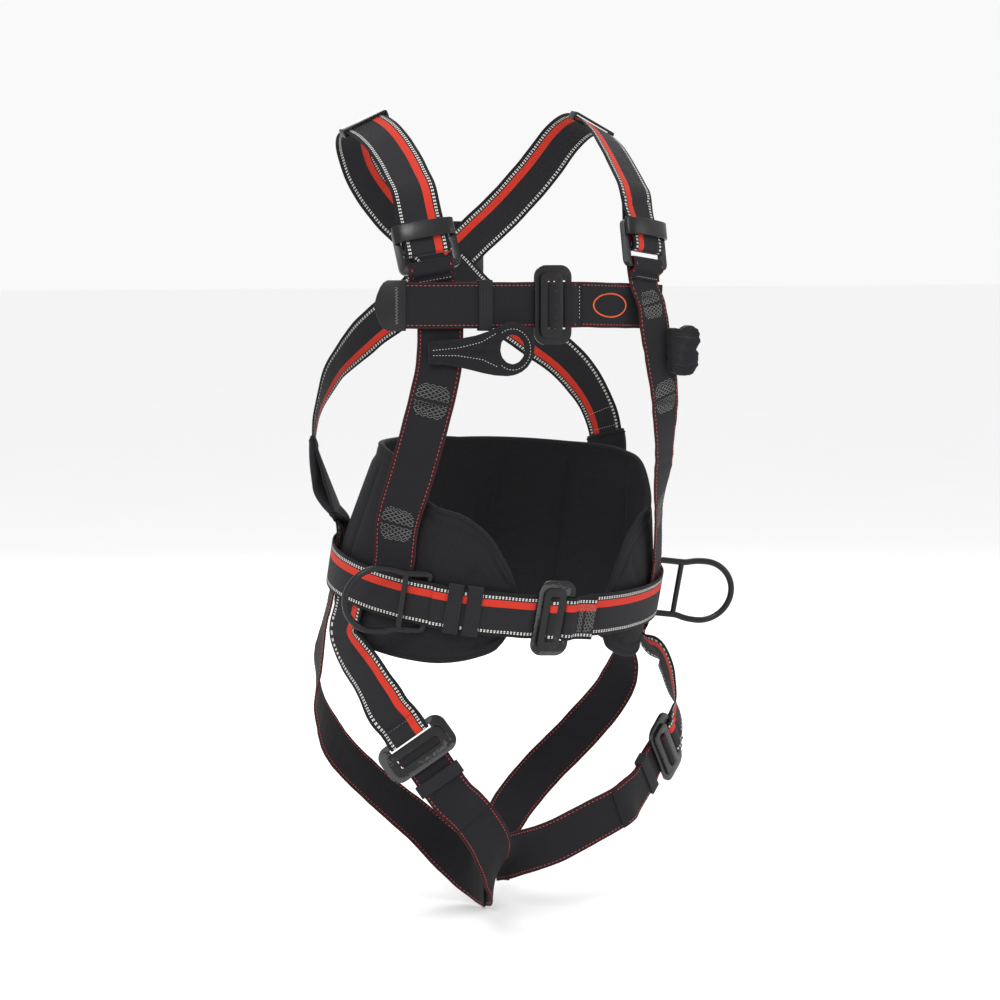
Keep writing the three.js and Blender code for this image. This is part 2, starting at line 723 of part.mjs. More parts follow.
const foldedLoop = new THREE.Shape();
foldedLoop.moveTo(0, -22);
foldedLoop.bezierCurveTo(12, -28, 26, -29, 34, -24);
foldedLoop.bezierCurveTo(42, -17, 42, -6, 36, -1);
foldedLoop.bezierCurveTo(43, 5, 44, 14, 38, 20);
foldedLoop.bezierCurveTo(30, 27, 20, 24, 14, 19);
foldedLoop.bezierCurveTo(9, 22, 5, 22, 0, 21);
foldedLoop.closePath();
const loopLeft = seat(LOOP_AT.left, [0.94, 0.34, 0], [0.34, -0.94, 0]);
const doubled = slab(foldedLoop, 9, -4.5, 4);
const slit = new THREE.BoxGeometry(40, 60, 1.6).translate(28, 0, 0);
addMesh('chest_loop_left', cut(doubled, slit), 'plain', loopLeft);

// ---- leg straps ----

const LEG_REACH = 48;
const LEG_TAIL = 50;
const LEG_KEEPER_AT = -38;
const LEG_KEEPER_L = 13;
const LEG = {
  right: {
    seat: [[-128, -88, 189.5], [-0.5, 0.26, 0.8], [-0.42, -0.9, 0]],
    upper: [
      [-152, -73, 226, 0.75, -0.35, 0.55],
      [-163, -48, 258, 0.45, -0.75, 0.4],
      tuck(-80, -58, OVER_OFF),
      tuck(-80, -34),
      tuck(-80, -12),
    ],
    thigh: [
      [-14, 8, 24, 0.05, 0, 1],
      [-16, -22, 30, 0.12, 0, 0.99],
      [-24, -50, 52, 0.5, -0.1, 0.85],
      [-44, -77, 86, 0.78, -0.15, 0.55],
      [-74, -94, 121, 0.75, -0.15, 0.62],
    ],
    rear: [
      tuck(-104, -12),
      tuck(-104, -34),
      tuck(-105, -58, OVER_OFF),
      [-178, 52, 262, 0.2, 0.9, 0.4],
      [-172, 68, 218, 0.45, 0.74, 0.5],
      [-142, 94, 166, 0.63, 0.5, 0.6],
      [-98, 98, 120, 0.66, 0.46, 0.58],
      [-52, 74, 76, 0.7, 0.3, 0.64],
      [-24, 38, 40, 0.42, -0.1, 0.9],
      [-19.6, 10, 27, 0, 0, 1],
      [-19.8, -12, 26, 0, 0, 1],
    ],
  },
  left: {
    seat: [[161, -64, 167], [0.66, 0.36, 0.65], [0.6, -0.8, -0.03]],
    upper: [
      [187, -45, 203, -0.46, -0.52, 0.72],
      [184, -36, 230, -0.25, -0.85, 0.4],
      [179, -27, 256, -0.1, -0.98, 0.1],
      tuck(84, -64, OVER_OFF + 4),
      tuck(91, -36, OVER_OFF + 1),
      tuck(94, -12),
    ],
    thigh: [
      [2, 8, 48, 0.02, 0, 1],
      [1, -22, 56, -0.05, 0, 1],
      [4, -50, 66, -0.12, 0.1, 0.98],
      [24, -80, 80, -0.3, 0.05, 0.95],
      [58, -97, 100, -0.45, 0.05, 0.89],
      [98, -96, 117, -0.48, -0.1, 0.86],
    ],
    rear: [
      tuck(117, -12),
      tuck(117, -34),
      tuck(116, -58, OVER_OFF),
      [177, 54, 248, -0.2, 0.9, 0.4],
      [172, 68, 210, -0.45, 0.74, 0.5],
      [142, 94, 160, -0.63, 0.5, 0.6],
      [98, 98, 120, -0.66, 0.46, 0.58],
      [50, 74, 86, -0.7, 0.3, 0.64],
      [14, 38, 58, -0.36, -0.1, 0.92],
      [6.5, 10, 50, 0, 0, 1],
      [6.5, -12, 52, 0, 0, 1],
    ],
  },
};

['right', 'left'].forEach((side) => {
  const leg = LEG[side];
  const group = seat(...leg.seat);
  passBuckle(`leg_buckle_${side}`, group);
  group.updateMatrixWorld(true);
  const across = new THREE.Vector3(0, 1, 0).transformDirection(group.matrixWorld).toArray();
  const onSeat = (u, w) => [...group.localToWorld(new THREE.Vector3(u, 0, w)).toArray(), ...across];
  const load = route([...leg.thigh, onSeat(-LEG_REACH - 9, LOAD_W - 0.6), onSeat(-LEG_REACH - 1, LOAD_W)]);
  const fold = adjustFold(group, LEG_REACH);
  const tail = upTo(shifted([...load, fold[0]], PLY).reverse(), LEG_TAIL).slice(1);
  strap(`leg_strap_${side}`, [...load, ...fold, ...tail], 'plain');
  const hold = band(LEG_KEEPER_L, WEB + 2.2, WEB_T + PLY + 2, 1.4);
  addMesh(`leg_keeper_${side}`, hold.translate(LEG_KEEPER_AT, 0, (LOAD_W + TAIL_W) / 2), 'elastic', group);
  strap(`hip_strap_${side}`, [...sewnLoop(group, 31, 30), ...route(leg.upper)], 'striped');
  strap(`seat_strap_${side}`, route(leg.rear), 'plain');
});

// ---- back: crossed straps, plate and ring ----

const BACK = {
  right: [
    [-5, 130.3, 663, 0.72, 0, -0.69],
    [-40, 130.3, 630, 0.7, 0, -0.7],
    [-90, 124, 596, 0.5, 0.25, -0.8],
    [-138, 106, 556, 0.55, 0.65, -0.5],
    [-162, 92, 515, 0.45, 0.85, -0.2],
    [-169, 84, 480, 0.4, 0.9, -0.05],
    [-167, 74, 440, 0.4, 0.92, 0],
    tuck(-113, 36, OVER_OFF + 2),
    tuck(-113, 8),
  ],
  left: [
    [5, 127.5, 663, 0.72, 0, 0.69],
    [40, 127.5, 630, 0.7, 0, 0.7],
    [90, 122, 596, 0.5, -0.25, 0.8],
    [138, 106, 556, 0.55, -0.65, 0.5],
    [162, 92, 515, 0.45, -0.85, 0.2],
    [169, 84, 480, 0.4, -0.9, 0.05],
    [164, 76, 440, 0.4, -0.92, 0],
    [156, 66, 405, 0.42, -0.9, 0],
    tuck(113, 34, OVER_OFF),
    tuck(113, 8),
  ],
};

['right', 'left'].forEach((side) => {
  const path = route(BACK[side]);
  strap(`back_strap_${side}`, path, 'striped');
  const from = 258;
  const sleevePath = [0, 1, 2, 3, 4, 5, 6].map((k) => frameAt(path, from + k * 13)).map(({ p, b }) => ({ p, b }));
  const hole = [-1, 0, 1, 2, 3, 4, 5, 6, 7].map((k) => frameAt(path, from + k * 13)).map(({ p, b }) => ({ p, b }));
  addMesh(`back_sleeve_${side}`, cut(bent(sleevePath, 53, 9.6), bent(hole, WEB + 2.4, WEB_T + 2.4)), 'pad');
});

const PLATE_Y = 132;
const dorsal = seat([0, PLATE_Y, 668], [1, 0, 0], [0, 1, 0]);
const plateShape = new THREE.Shape();
plateShape.moveTo(-46, -26);
plateShape.lineTo(-28, -44);
plateShape.lineTo(28, -44);
plateShape.lineTo(46, -26);
plateShape.lineTo(46, 26);
plateShape.lineTo(28, 44);
plateShape.lineTo(-28, 44);
plateShape.lineTo(-46, 26);
plateShape.closePath();
addMesh('dorsal_plate', slab(plateShape, 4, 0), 'plastic', dorsal);

const DORSAL_BAR_OUT = 10;
const DORSAL_BAR_UP = 14;
const LOOP_R = BAR_R + GAP + HALF_T;
const loopFrame = seat([0, PLATE_Y, 668 + DORSAL_BAR_UP], [0, 0, -1], [0, 1, 0]);
const webLoop = folded(loopFrame, [
  [36, DORSAL_BAR_OUT - LOOP_R],
  [-LOOP_R, DORSAL_BAR_OUT - LOOP_R],
  [-LOOP_R, DORSAL_BAR_OUT + LOOP_R],
  [3.5, DORSAL_BAR_OUT + LOOP_R],
  [14, DORSAL_BAR_OUT - LOOP_R + PLY],
  [36, DORSAL_BAR_OUT - LOOP_R + PLY],
], 3);
strap('dorsal_loop', webLoop, 'plain', harness, 40);

const ringPoints = (count) => {
  const path = new THREE.Path();
  path.moveTo(0, -22);
  path.lineTo(0, 22);
  path.quadraticCurveTo(0, 29, 8, 29);
  path.bezierCurveTo(16, 29, 22, 30, 30, 30);
  path.absarc(30, 0, 30, Math.PI / 2, -Math.PI / 2, true);
  path.bezierCurveTo(22, -30, 16, -29, 8, -29);
  path.quadraticCurveTo(0, -29, 0, -22);
  return path.getSpacedPoints(count).slice(0, count).reverse();
};
const dorsalRingSeat = seat([0, PLATE_Y + DORSAL_BAR_OUT, 668 + DORSAL_BAR_UP], [0, 0, -1], [0, 1, 0]);
addMesh('dorsal_ring', closedBar(ringPoints(32), BAR_R, 8), 'coated', dorsalRingSeat);

export default harness;
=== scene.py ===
"""Looks of the safety harness: webbing, stitching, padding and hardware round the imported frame.

Metres, +Z up. Lengths named in millimetres are multiplied by MM where they are used.
"""

import json
import math

import bmesh
import bpy
import numpy as np
from mathutils import Matrix, Vector
from mathutils.bvhtree import BVHTree


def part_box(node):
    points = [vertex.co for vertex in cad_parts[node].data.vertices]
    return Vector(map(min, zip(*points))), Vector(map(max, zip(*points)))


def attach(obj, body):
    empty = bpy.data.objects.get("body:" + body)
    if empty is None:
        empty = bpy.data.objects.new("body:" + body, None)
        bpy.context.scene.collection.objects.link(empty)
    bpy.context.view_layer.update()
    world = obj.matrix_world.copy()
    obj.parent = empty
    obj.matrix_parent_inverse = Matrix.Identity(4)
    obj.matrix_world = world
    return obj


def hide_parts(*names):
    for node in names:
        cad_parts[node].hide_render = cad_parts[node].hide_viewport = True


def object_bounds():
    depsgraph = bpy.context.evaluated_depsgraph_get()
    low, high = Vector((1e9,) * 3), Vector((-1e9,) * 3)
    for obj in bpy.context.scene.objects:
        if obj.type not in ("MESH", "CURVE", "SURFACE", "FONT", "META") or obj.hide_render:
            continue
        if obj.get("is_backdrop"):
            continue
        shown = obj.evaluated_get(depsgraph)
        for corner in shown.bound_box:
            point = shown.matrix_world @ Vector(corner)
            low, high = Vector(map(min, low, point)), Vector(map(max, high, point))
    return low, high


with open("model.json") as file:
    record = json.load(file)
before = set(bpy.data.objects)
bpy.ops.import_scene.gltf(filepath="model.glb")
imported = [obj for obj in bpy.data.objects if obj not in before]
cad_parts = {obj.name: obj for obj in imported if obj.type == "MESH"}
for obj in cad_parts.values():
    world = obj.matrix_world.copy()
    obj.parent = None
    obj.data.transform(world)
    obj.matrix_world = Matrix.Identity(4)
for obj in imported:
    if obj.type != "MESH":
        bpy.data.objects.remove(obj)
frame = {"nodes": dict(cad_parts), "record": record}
cad_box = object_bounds()
scene = bpy.context.scene
scene.view_settings.view_transform = "Standard"
MM = 0.001
BODY = {node: body for body, nodes in frame["record"]["behaviour"]["bodies"].items() for node in nodes}

# ---- camera ----

cam_data = bpy.data.cameras.new("camera")
camera = bpy.data.objects.new("camera", cam_data)
scene.collection.objects.link(camera)
scene.camera = camera
cam_data.lens = 104.9
cam_data.sensor_width = 36
cam_data.shift_x = 0.003
camera.location = (-1.263, -2.709, 0.6865)
aim = Vector((0, 0, 0.425)) - camera.location
camera.rotation_euler = aim.to_track_quat("-Z", "Y").to_euler()


# ---- materials ----


class Shader:
    """A material being wired: one principled shader, and short calls for the nodes that feed it."""

    def __init__(self, name, **fixed):
        self.mat = bpy.data.materials.new(name)
        self.mat.use_nodes = True
        self.tree = self.mat.node_tree
        self.bsdf = self.tree.nodes["Principled BSDF"]
        for key, value in fixed.items():
            self.bsdf.inputs[key.replace("_", " ")].default_value = value

    def put(self, socket, value):
        if isinstance(value, bpy.types.NodeSocket):
            self.tree.links.new(value, socket)
        else:
            socket.default_value = value

    def node(self, kind, values, out=0, **props):
        n = self.tree.nodes.new(kind)
        for key, value in props.items():
            setattr(n, key, value)
        for key, value in values.items():
            self.put(n.inputs[key], value)
        return n.outputs[out]

    def math(self, op, a, b=0.0, c=0.0):
        return self.node("ShaderNodeMath", {0: a, 1: b, 2: c}, operation=op)

    def band(self, value, middle, half):
        return self.math("COMPARE", value, middle, half)

    def mix(self, factor, a, b):
        return self.node("ShaderNodeMix", {0: factor, 6: a, 7: b}, out=2, data_type="RGBA")

    def noise(self, vector, scale, detail=3.0, rough=0.6):
        values = {"Vector": vector, "Scale": scale, "Detail": detail, "Roughness": rough}
        return self.node("ShaderNodeTexNoise", values)

    def place(self):
        return self.node("ShaderNodeTexCoord", {}, out=3)

    def strap(self):
        """Millimetres along the webbing and across it."""
        vector = self.node("ShaderNodeAttribute", {}, out=1, attribute_name="web")
        split = self.tree.nodes.new("ShaderNodeSeparateXYZ")
        self.put(split.inputs[0], vector)
        return vector, split.outputs[0], split.outputs[1]

    def ripple(self, value, period):
        return self.math("SINE", self.math("MULTIPLY", value, 2 * math.pi / period))

    def shade(self, lowest, highest, value):
        return self.node("ShaderNodeMapRange", {0: value, 3: lowest, 4: highest})

    def finish(self, colour, rough, height, distance, strength=1.0):
        self.put(self.bsdf.inputs["Base Color"], colour)
        self.put(self.bsdf.inputs["Roughness"], rough)
        bump = {"Strength": strength, "Distance": distance, "Height": height}
        self.put(self.bsdf.inputs["Normal"], self.node("ShaderNodeBump", bump))
        return self.mat


CHARCOAL = (0.0145, 0.0138, 0.0158, 1)
CHARCOAL_DEEP = (0.0075, 0.007, 0.0085, 1)
EDGE_BLACK = (0.010, 0.010, 0.011, 1)
RED = (0.62, 0.048, 0.026, 1)
RED_DEEP = (0.40, 0.022, 0.013, 1)
WHITE = (0.72, 0.72, 0.68, 1)
MAROON = (0.075, 0.010, 0.013, 1)


def weave(s, u, v, vector, rib):
    """Crosswise ribs with warp threads over them, and a slow unevenness: (height, fine, slow)."""
    ribs = s.math("MULTIPLY_ADD", s.ripple(u, rib), 0.5, 0.5)
    warp = s.math("MULTIPLY_ADD", s.ripple(v, 0.85), 0.5, 0.5)
    fine = s.noise(vector, 1.6, 4.0, 0.7)
    slow = s.noise(vector, 0.035, 3.0, 0.55)
    height = s.math("ADD", s.math("MULTIPLY", ribs, 0.65), s.math("MULTIPLY", warp, 0.3))
    return s.math("MULTIPLY_ADD", fine, 0.35, height), fine, slow


def striped_webbing():
    s = Shader("webbing_striped", Sheen_Weight=0.05, Sheen_Roughness=0.45, Specular_IOR_Level=0.1)
    vector, u, v = s.strap()
    height, fine, slow = weave(s, u, v, vector, 1.05)
    base = s.mix(s.shade(0.1, 0.9, slow), CHARCOAL_DEEP, CHARCOAL)
    base = s.mix(s.math("MULTIPLY", height, 0.35), base, (0.040, 0.038, 0.043, 1))
    edge = s.math("GREATER_THAN", s.math("ABSOLUTE", v), 19.6)
    colour = s.mix(edge, base, EDGE_BLACK)
    fuzz = s.math("MULTIPLY", edge, s.math("GREATER_THAN", fine, 0.62))
    colour = s.mix(s.math("MULTIPLY", fuzz, 0.35), colour, (0.10, 0.095, 0.10, 1))
    red = s.mix(s.math("MULTIPLY", height, 0.7), RED_DEEP, RED)
    colour = s.mix(s.band(v, 11.4, 3.7), colour, red)
    thread = s.math("FRACT", s.math("MULTIPLY", u, 1 / 3.4))
    dash = s.band(thread, 0.5, 0.26)
    white = s.mix(fine, (0.55, 0.55, 0.52, 1), WHITE)
    for middle in (16.9, 18.5, -16.9, -18.5):
        on = s.math("MULTIPLY", dash, s.band(v, middle, 0.55))
        colour = s.mix(on, colour, white)
    rough = s.shade(0.62, 0.86, slow)
    return s.finish(colour, rough, height, 0.00028, 0.8)


def plain_webbing():
    s = Shader("webbing_plain", Sheen_Weight=0.05, Sheen_Roughness=0.45, Specular_IOR_Level=0.09)
    vector, u, v = s.strap()
    height, fine, slow = weave(s, u, v, vector, 1.25)
    base = s.mix(s.shade(0.1, 0.9, slow), (0.0052, 0.0052, 0.0062, 1), (0.0105, 0.0102, 0.012, 1))
    base = s.mix(s.math("MULTIPLY", height, 0.35), base, (0.032, 0.031, 0.035, 1))
    edge = s.math("GREATER_THAN", s.math("ABSOLUTE", v), 21.3)
    colour = s.mix(edge, base, s.mix(fine, EDGE_BLACK, MAROON))
    return s.finish(colour, s.shade(0.66, 0.9, slow), height, 0.00025, 0.75)


def elastic_webbing():
    s = Shader("webbing_elastic", Sheen_Weight=0.06, Sheen_Roughness=0.4, Specular_IOR_Level=0.09)
    vector, u, _ = s.strap()
    ribs = s.math("MULTIPLY_ADD", s.ripple(u, 1.5), 0.5, 0.5)
    fine = s.noise(vector, 1.9, 4.0, 0.7)
    slow = s.noise(vector, 0.06, 2.0, 0.5)
    height = s.math("MULTIPLY_ADD", fine, 0.4, ribs)
    base = s.mix(s.math("MULTIPLY", height, 0.6), (0.009, 0.009, 0.010, 1), (0.036, 0.035, 0.039, 1))
    colour = s.mix(s.shade(0, 0.4, slow), base, CHARCOAL)
    return s.finish(colour, s.shade(0.7, 0.92, slow), height, 0.00026, 0.8)


def padding():
    s = Shader("padding_knit", Sheen_Weight=0.02, Sheen_Roughness=0.5, Specular_IOR_Level=0.09)
    here = s.place()
    fine = s.noise(here, 1700.0, 2.0, 0.6)
    knit = s.node("ShaderNodeTexVoronoi", {"Vector": here, "Scale": 950.0})
    slow = s.noise(here, 16.0, 4.0, 0.6)
    height = s.math("MULTIPLY_ADD", fine, 0.5, knit)
    base = s.mix(slow, (0.0055, 0.0055, 0.0063, 1), (0.0125, 0.0122, 0.0138, 1))
    colour = s.mix(s.math("MULTIPLY", height, 0.24), base, (0.032, 0.031, 0.035, 1))
    return s.finish(colour, s.shade(0.62, 0.86, slow), height, 0.00022, 0.6)


def coated_metal():
    s = Shader("metal_coated", Specular_IOR_Level=0.24, Coat_Weight=0.08, Coat_Roughness=0.14)
    here = s.place()
    grain = s.noise(here, 2600.0, 3.0, 0.65)
    patches = s.noise(here, 55.0, 4.0, 0.6)
    scuff = s.noise(here, 420.0, 5.0, 0.75)
    pointy = s.node("ShaderNodeNewGeometry", {}, out=7)
    worn = s.math("GREATER_THAN", s.math("MULTIPLY", pointy, s.math("ADD", scuff, 0.5)), 0.68)
    base = s.mix(patches, (0.0045, 0.0045, 0.005, 1), (0.009, 0.009, 0.0102, 1))
    colour = s.mix(s.math("MULTIPLY", worn, 0.4), base, (0.12, 0.12, 0.125, 1))
    rough = s.math("MULTIPLY_ADD", grain, 0.12, s.shade(0.2, 0.34, patches))
    return s.finish(colour, rough, grain, 0.00007, 0.45)


def moulded_plastic():
    s = Shader("plastic_moulded", Specular_IOR_Level=0.26, Coat_Weight=0.06, Coat_Roughness=0.12)
    here = s.place()
    grain = s.noise(here, 3200.0, 2.0, 0.5)
    patches = s.noise(here, 40.0, 4.0, 0.6)
    scuff = s.noise(here, 500.0, 5.0, 0.8)
    base = s.mix(patches, (0.0045, 0.0045, 0.005, 1), (0.0085, 0.0085, 0.0095, 1))
    marked = s.math("MULTIPLY", s.math("GREATER_THAN", scuff, 0.66), 0.25)
    colour = s.mix(marked, base, (0.06, 0.06, 0.063, 1))
    rough = s.math("MULTIPLY_ADD", scuff, 0.14, s.shade(0.18, 0.3, patches))
    return s.finish(colour, rough, grain, 0.00005, 0.4)


def thread(name, light, dark, sheen=0.2):
    s = Shader(name, Sheen_Weight=sheen, Sheen_Roughness=0.4, Specular_IOR_Level=0.3)
    here = s.place()
    fine = s.noise(here, 3800.0, 3.0, 0.6)
    slow = s.noise(here, 70.0, 3.0, 0.5)
    colour = s.mix(s.math("MULTIPLY_ADD", fine, 0.5, s.math("MULTIPLY", slow, 0.5)), dark, light)
    return s.finish(colour, s.shade(0.55, 0.8, slow), fine, 0.00006, 0.5)


MATERIAL = {
    "striped_webbing": striped_webbing(),
    "plain_webbing": plain_webbing(),
    "elastic": elastic_webbing(),
    "padding": padding(),
    "coated_metal": coated_metal(),
    "moulded_plastic": moulded_plastic(),
    "red_thread": thread("thread_red", (0.80, 0.075, 0.060, 1), (0.42, 0.030, 0.030, 1)),
    "white_thread": thread("thread_white", (0.62, 0.62, 0.58, 1), (0.34, 0.34, 0.32, 1)),
    "grey_thread": thread("thread_grey", (0.20, 0.21, 0.19, 1), (0.085, 0.09, 0.085, 1)),
    "black_thread": thread("thread_black", (0.05, 0.05, 0.054, 1), (0.018, 0.018, 0.02, 1)),
    "orange_thread": thread("thread_orange", (0.86, 0.16, 0.045, 1), (0.62, 0.075, 0.02, 1)),
}
SLOT = {row["node"]: row["material_slot"] for row in frame["record"]["subparts"]}


def piece(name, verts, faces, body, slot, material=None, web=None, smooth=True, sharp=None):
    """A finished mesh riding on a body. web gives each vertex its place on the webbing, in millimetres."""
    me = bpy.data.meshes.new(name)
    me.from_pydata([tuple(p) for p in verts], [], faces)
    me.validate()
    me.update()
    if web is not None:
        layer = me.attributes.new("web", "FLOAT_VECTOR", "POINT")
        layer.data.foreach_set("vector", np.asarray(web, np.float32).ravel())
    me.polygons.foreach_set("use_smooth", [smooth] * len(me.polygons))
    if sharp:
        me.set_sharp_from_angle(angle=math.radians(sharp))
    obj = bpy.data.objects.new(name, me)
    scene.collection.objects.link(obj)
    me.materials.append(MATERIAL[material or slot])
    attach(obj, body)
    return obj


def baked(obj):
    """The object's mesh with its modifiers applied."""
    done = bpy.data.meshes.new_from_object(obj.evaluated_get(bpy.context.evaluated_depsgraph_get()))
    obj.modifiers.clear()
    obj.data = done
    return done


def eased(f, gap, start, end, slope_start, slope_end):
    """The smooth path between two values a gap apart, a fraction f along it."""
    value = (2 * f**3 - 3 * f**2 + 1) * start + (f**3 - 2 * f**2 + f) * gap * slope_start
    return value + (3 * f**2 - 2 * f**3) * end + (f**3 - f**2) * gap * slope_end


# ---- webbing ----


def welded(node):
    bm = bmesh.new()
    bm.from_mesh(frame["nodes"][node].data)
    bmesh.ops.remove_doubles(bm, verts=bm.verts, dist=1e-5)
    bmesh.ops.triangulate(bm, faces=bm.faces)
    return bm


def stations(node):
    """The ribbon's stations, read off its solid: each is the four corners of one cross-section."""
    bm = welded(node)
    bm.verts.ensure_lookup_table()
    total = len(bm.verts)
    near = [[e.other_vert(v).index for e in v.link_edges] for v in bm.verts]
    best = None
    for face in bm.faces:
        for edge in face.edges:
            others = [f for f in edge.link_faces if f is not face]
            if not others:
                continue
            first = {v.index for v in face.verts} | {v.index for v in others[0].verts}
            if len(first) != 4:
                continue
            layers, seen = [first], set(first)
            while len(layers[-1]) == 4:
                ahead = {k for i in layers[-1] for k in near[i]} - seen
                if not ahead:
                    break
                layers.append(ahead)
                seen |= ahead
            if len(seen) == total and all(len(x) == 4 for x in layers):
                best = layers
                break
        if best:
            break
    points = [[bm.verts[i].co.copy() for i in layer] for layer in best] if best else None
    bm.free()
    return points


class Web:
    """A ribbon's smooth centre path, with the direction across it and the one off its face."""

    def __init__(self, node, red=None, half=22.5 * MM, step=2.5 * MM):
        self.node = node
        self.half = half
        raw_p, raw_b = [], []
        for four in stations(node):
            first = four[0]
            pair = min(four[1:], key=lambda q: (q - first).length)
            rest = [q for q in four[1:] if q is not pair]
            a, c = (first + pair) / 2, (rest[0] + rest[1]) / 2
            b = (a - c).normalized()
            if raw_b and b.dot(raw_b[-1]) < 0:
                b.negate()
            raw_p.append((a + c) / 2)
            raw_b.append(b)
        if red is not None and raw_b[len(raw_b) // 2].dot(Vector(red)) < 0:
            raw_b = [-b for b in raw_b]
        p = np.array(raw_p)
        b = np.array(raw_b)
        gap = np.maximum(np.linalg.norm(np.diff(p, axis=0), axis=1), 1e-6)
        slope = lambda q: self.slopes(q, gap)
        mp, mb = slope(p), slope(b)
        out_p, out_b = [], []
        for i, d in enumerate(gap):
            count = max(1, math.ceil(d / step))
            for k in range(count + (i == len(gap) - 1)):
                f = k / count
                out_p.append(eased(f, d, p[i], p[i + 1], mp[i], mp[i + 1]))
                out_b.append(eased(f, d, b[i], b[i + 1], mb[i], mb[i + 1]))
        self.p = np.array(out_p)
        t = np.gradient(self.p, axis=0)
        self.t = t / np.linalg.norm(t, axis=1)[:, None]
        b = np.array(out_b)
        b -= self.t * (b * self.t).sum(1)[:, None]
        self.b = b / np.linalg.norm(b, axis=1)[:, None]
        self.n = np.cross(self.t, self.b)
        self.s = np.concatenate([[0], np.cumsum(np.linalg.norm(np.diff(self.p, axis=0), axis=1))]) / MM
        self.length = self.s[-1]
        turn = np.linalg.norm(np.gradient(self.t, axis=0), axis=1)
        self.curl = turn / np.maximum(np.gradient(self.s), 1e-6)

    @staticmethod
    def slopes(q, gap):
        m = np.empty_like(q)
        step = np.diff(q, axis=0) / gap[:, None]
        m[0], m[-1] = step[0], step[-1]
        weight = gap[1:, None] / (gap[1:, None] + gap[:-1, None])
        m[1:-1] = step[:-1] * weight + step[1:] * (1 - weight)
        return m

    def at(self, u, v=0.0, w=0.0):
        """The point u along, v across and w off the face, all in millimetres."""
        mix = lambda rows: np.array([np.interp(u, self.s, rows[:, k]) for k in range(3)])
        return mix(self.p) + (mix(self.b) * v + mix(self.n) * w) * MM

    def tight(self, u):
        return np.interp(u, self.s, self.curl) > 0.05


THICK = 0.95
PROFILE = [(-1.0, 0.0), (-0.992, 0.55), (-0.965, 0.9)]
PROFILE += [(k / 6, 1.0) for k in range(-5, 6)]
PROFILE += [(0.965, 0.9), (0.992, 0.55)]
RING = PROFILE + [(-v, -w) for v, w in PROFILE]


def ribbon(web, slot, waves=0.0):
    """Webbing with rolled edges, a little uneven along its edges and across its face."""
    count, ring = len(web.s), len(RING)
    half = web.half / MM
    verts, tags = [], []
    for i in range(count):
        u = web.s[i]
        loose = max(0.0, 1 - web.curl[i] * 25)
        for v, w in RING:
            across = v * half
            edge = 0.12 * math.sin(u * 0.19 + v) * abs(v) * loose
            lift = waves * loose * math.sin(u * 0.34 + 1.3 * math.sin(u * 0.05) + v * 1.1)
            lift *= 0.55 + 0.45 * math.sin(u * 0.11 + v)
            q = web.p[i] + web.b[i] * (across + edge) * MM + web.n[i] * (w * THICK + lift) * MM
            verts.append(q)
            tags.append((u, across, w))
    faces = [
        (i * ring + j, i * ring + (j + 1) % ring, (i + 1) * ring + (j + 1) % ring, (i + 1) * ring + j)
        for i in range(count - 1)
        for j in range(ring)
    ]
    faces = [f[::-1] for f in faces]
    faces.append(tuple(range(ring)))
    faces.append(tuple(range((count - 1) * ring, count * ring))[::-1])
    obj = piece(web.node, verts, faces, BODY[web.node], slot, web=tags, sharp=70)
    obj.name = f"{web.node}_webbing"
    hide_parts(web.node)
    return obj


# ---- thread ----

GRAIN = [(-0.5, 0.25, -0.35), (-0.34, 0.85, 0.0), (0.0, 1.0, 0.12), (0.34, 0.85, 0.0), (0.5, 0.25, -0.35)]
GRAIN_SIDES = 5


def grains(name, rows, body, slot, material, radius):
    """Short lengths of sewn thread. rows holds (from, to, face normal) in metres."""
    verts, faces = [], []
    for a, b, n in rows:
        a, b, n = np.asarray(a), np.asarray(b), np.asarray(n)
        along = b - a
        size = np.linalg.norm(along)
        if size < 1e-5:
            continue
        t = along / size
        side = np.cross(t, n)
        side /= max(np.linalg.norm(side), 1e-9)
        up = np.cross(side, t)
        base = len(verts)
        for x, r, lift in GRAIN:
            centre = (a + b) / 2 + along * x + up * lift * radius
            for k in range(GRAIN_SIDES):
                angle = 2 * math.pi * k / GRAIN_SIDES
                verts.append(centre + (side * math.cos(angle) + up * math.sin(angle)) * r * radius)
        for i in range(len(GRAIN) - 1):
            for k in range(GRAIN_SIDES):
                c, d = base + i * GRAIN_SIDES, (k + 1) % GRAIN_SIDES
                faces.append((c + k, c + GRAIN_SIDES + k, c + GRAIN_SIDES + d, c + d))
        last = base + (len(GRAIN) - 1) * GRAIN_SIDES
        faces.append(tuple(range(base, base + GRAIN_SIDES)))
        faces.append(tuple(range(last, last + GRAIN_SIDES))[::-1])
    return piece(name, verts, faces, body, slot, material=material)


def normal_at(web, u, side):
    n = np.array([np.interp(u, web.s, web.n[:, k]) for k in range(3)])
    return n * side


def sewn(web, marks, sides=(1, -1), lift=0.98):
    """Thread from marks on the face: each is ((u, v), (u, v)) in millimetres."""
    rows = []
    for (u0, v0), (u1, v1) in marks:
        if not 0 < (u0 + u1) / 2 < web.length or web.tight((u0 + u1) / 2):
            continue
        for side in sides:
            ends = web.at(u0, v0, side * lift), web.at(u1, v1, side * lift)
            rows.append((*ends, normal_at(web, (u0 + u1) / 2, side)))
    return rows


def edge_rows(web, start=3.0, stop=None, inset=3.2, pitch=4.2, stitch=2.5):
    stop = stop or web.length - 3
    v = web.half / MM - inset
    count = int((stop - start) / pitch)
    starts = [start + k * pitch for k in range(count)]
    return [((u, side * v), (u + stitch, side * v)) for u in starts for side in (-1, 1)]


def cross_row(u, half=18.0, pitch=3.3, stitch=1.6):
    count = int(2 * half / pitch)
    return [((u, -half + k * pitch), (u, -half + k * pitch + stitch)) for k in range(count)]


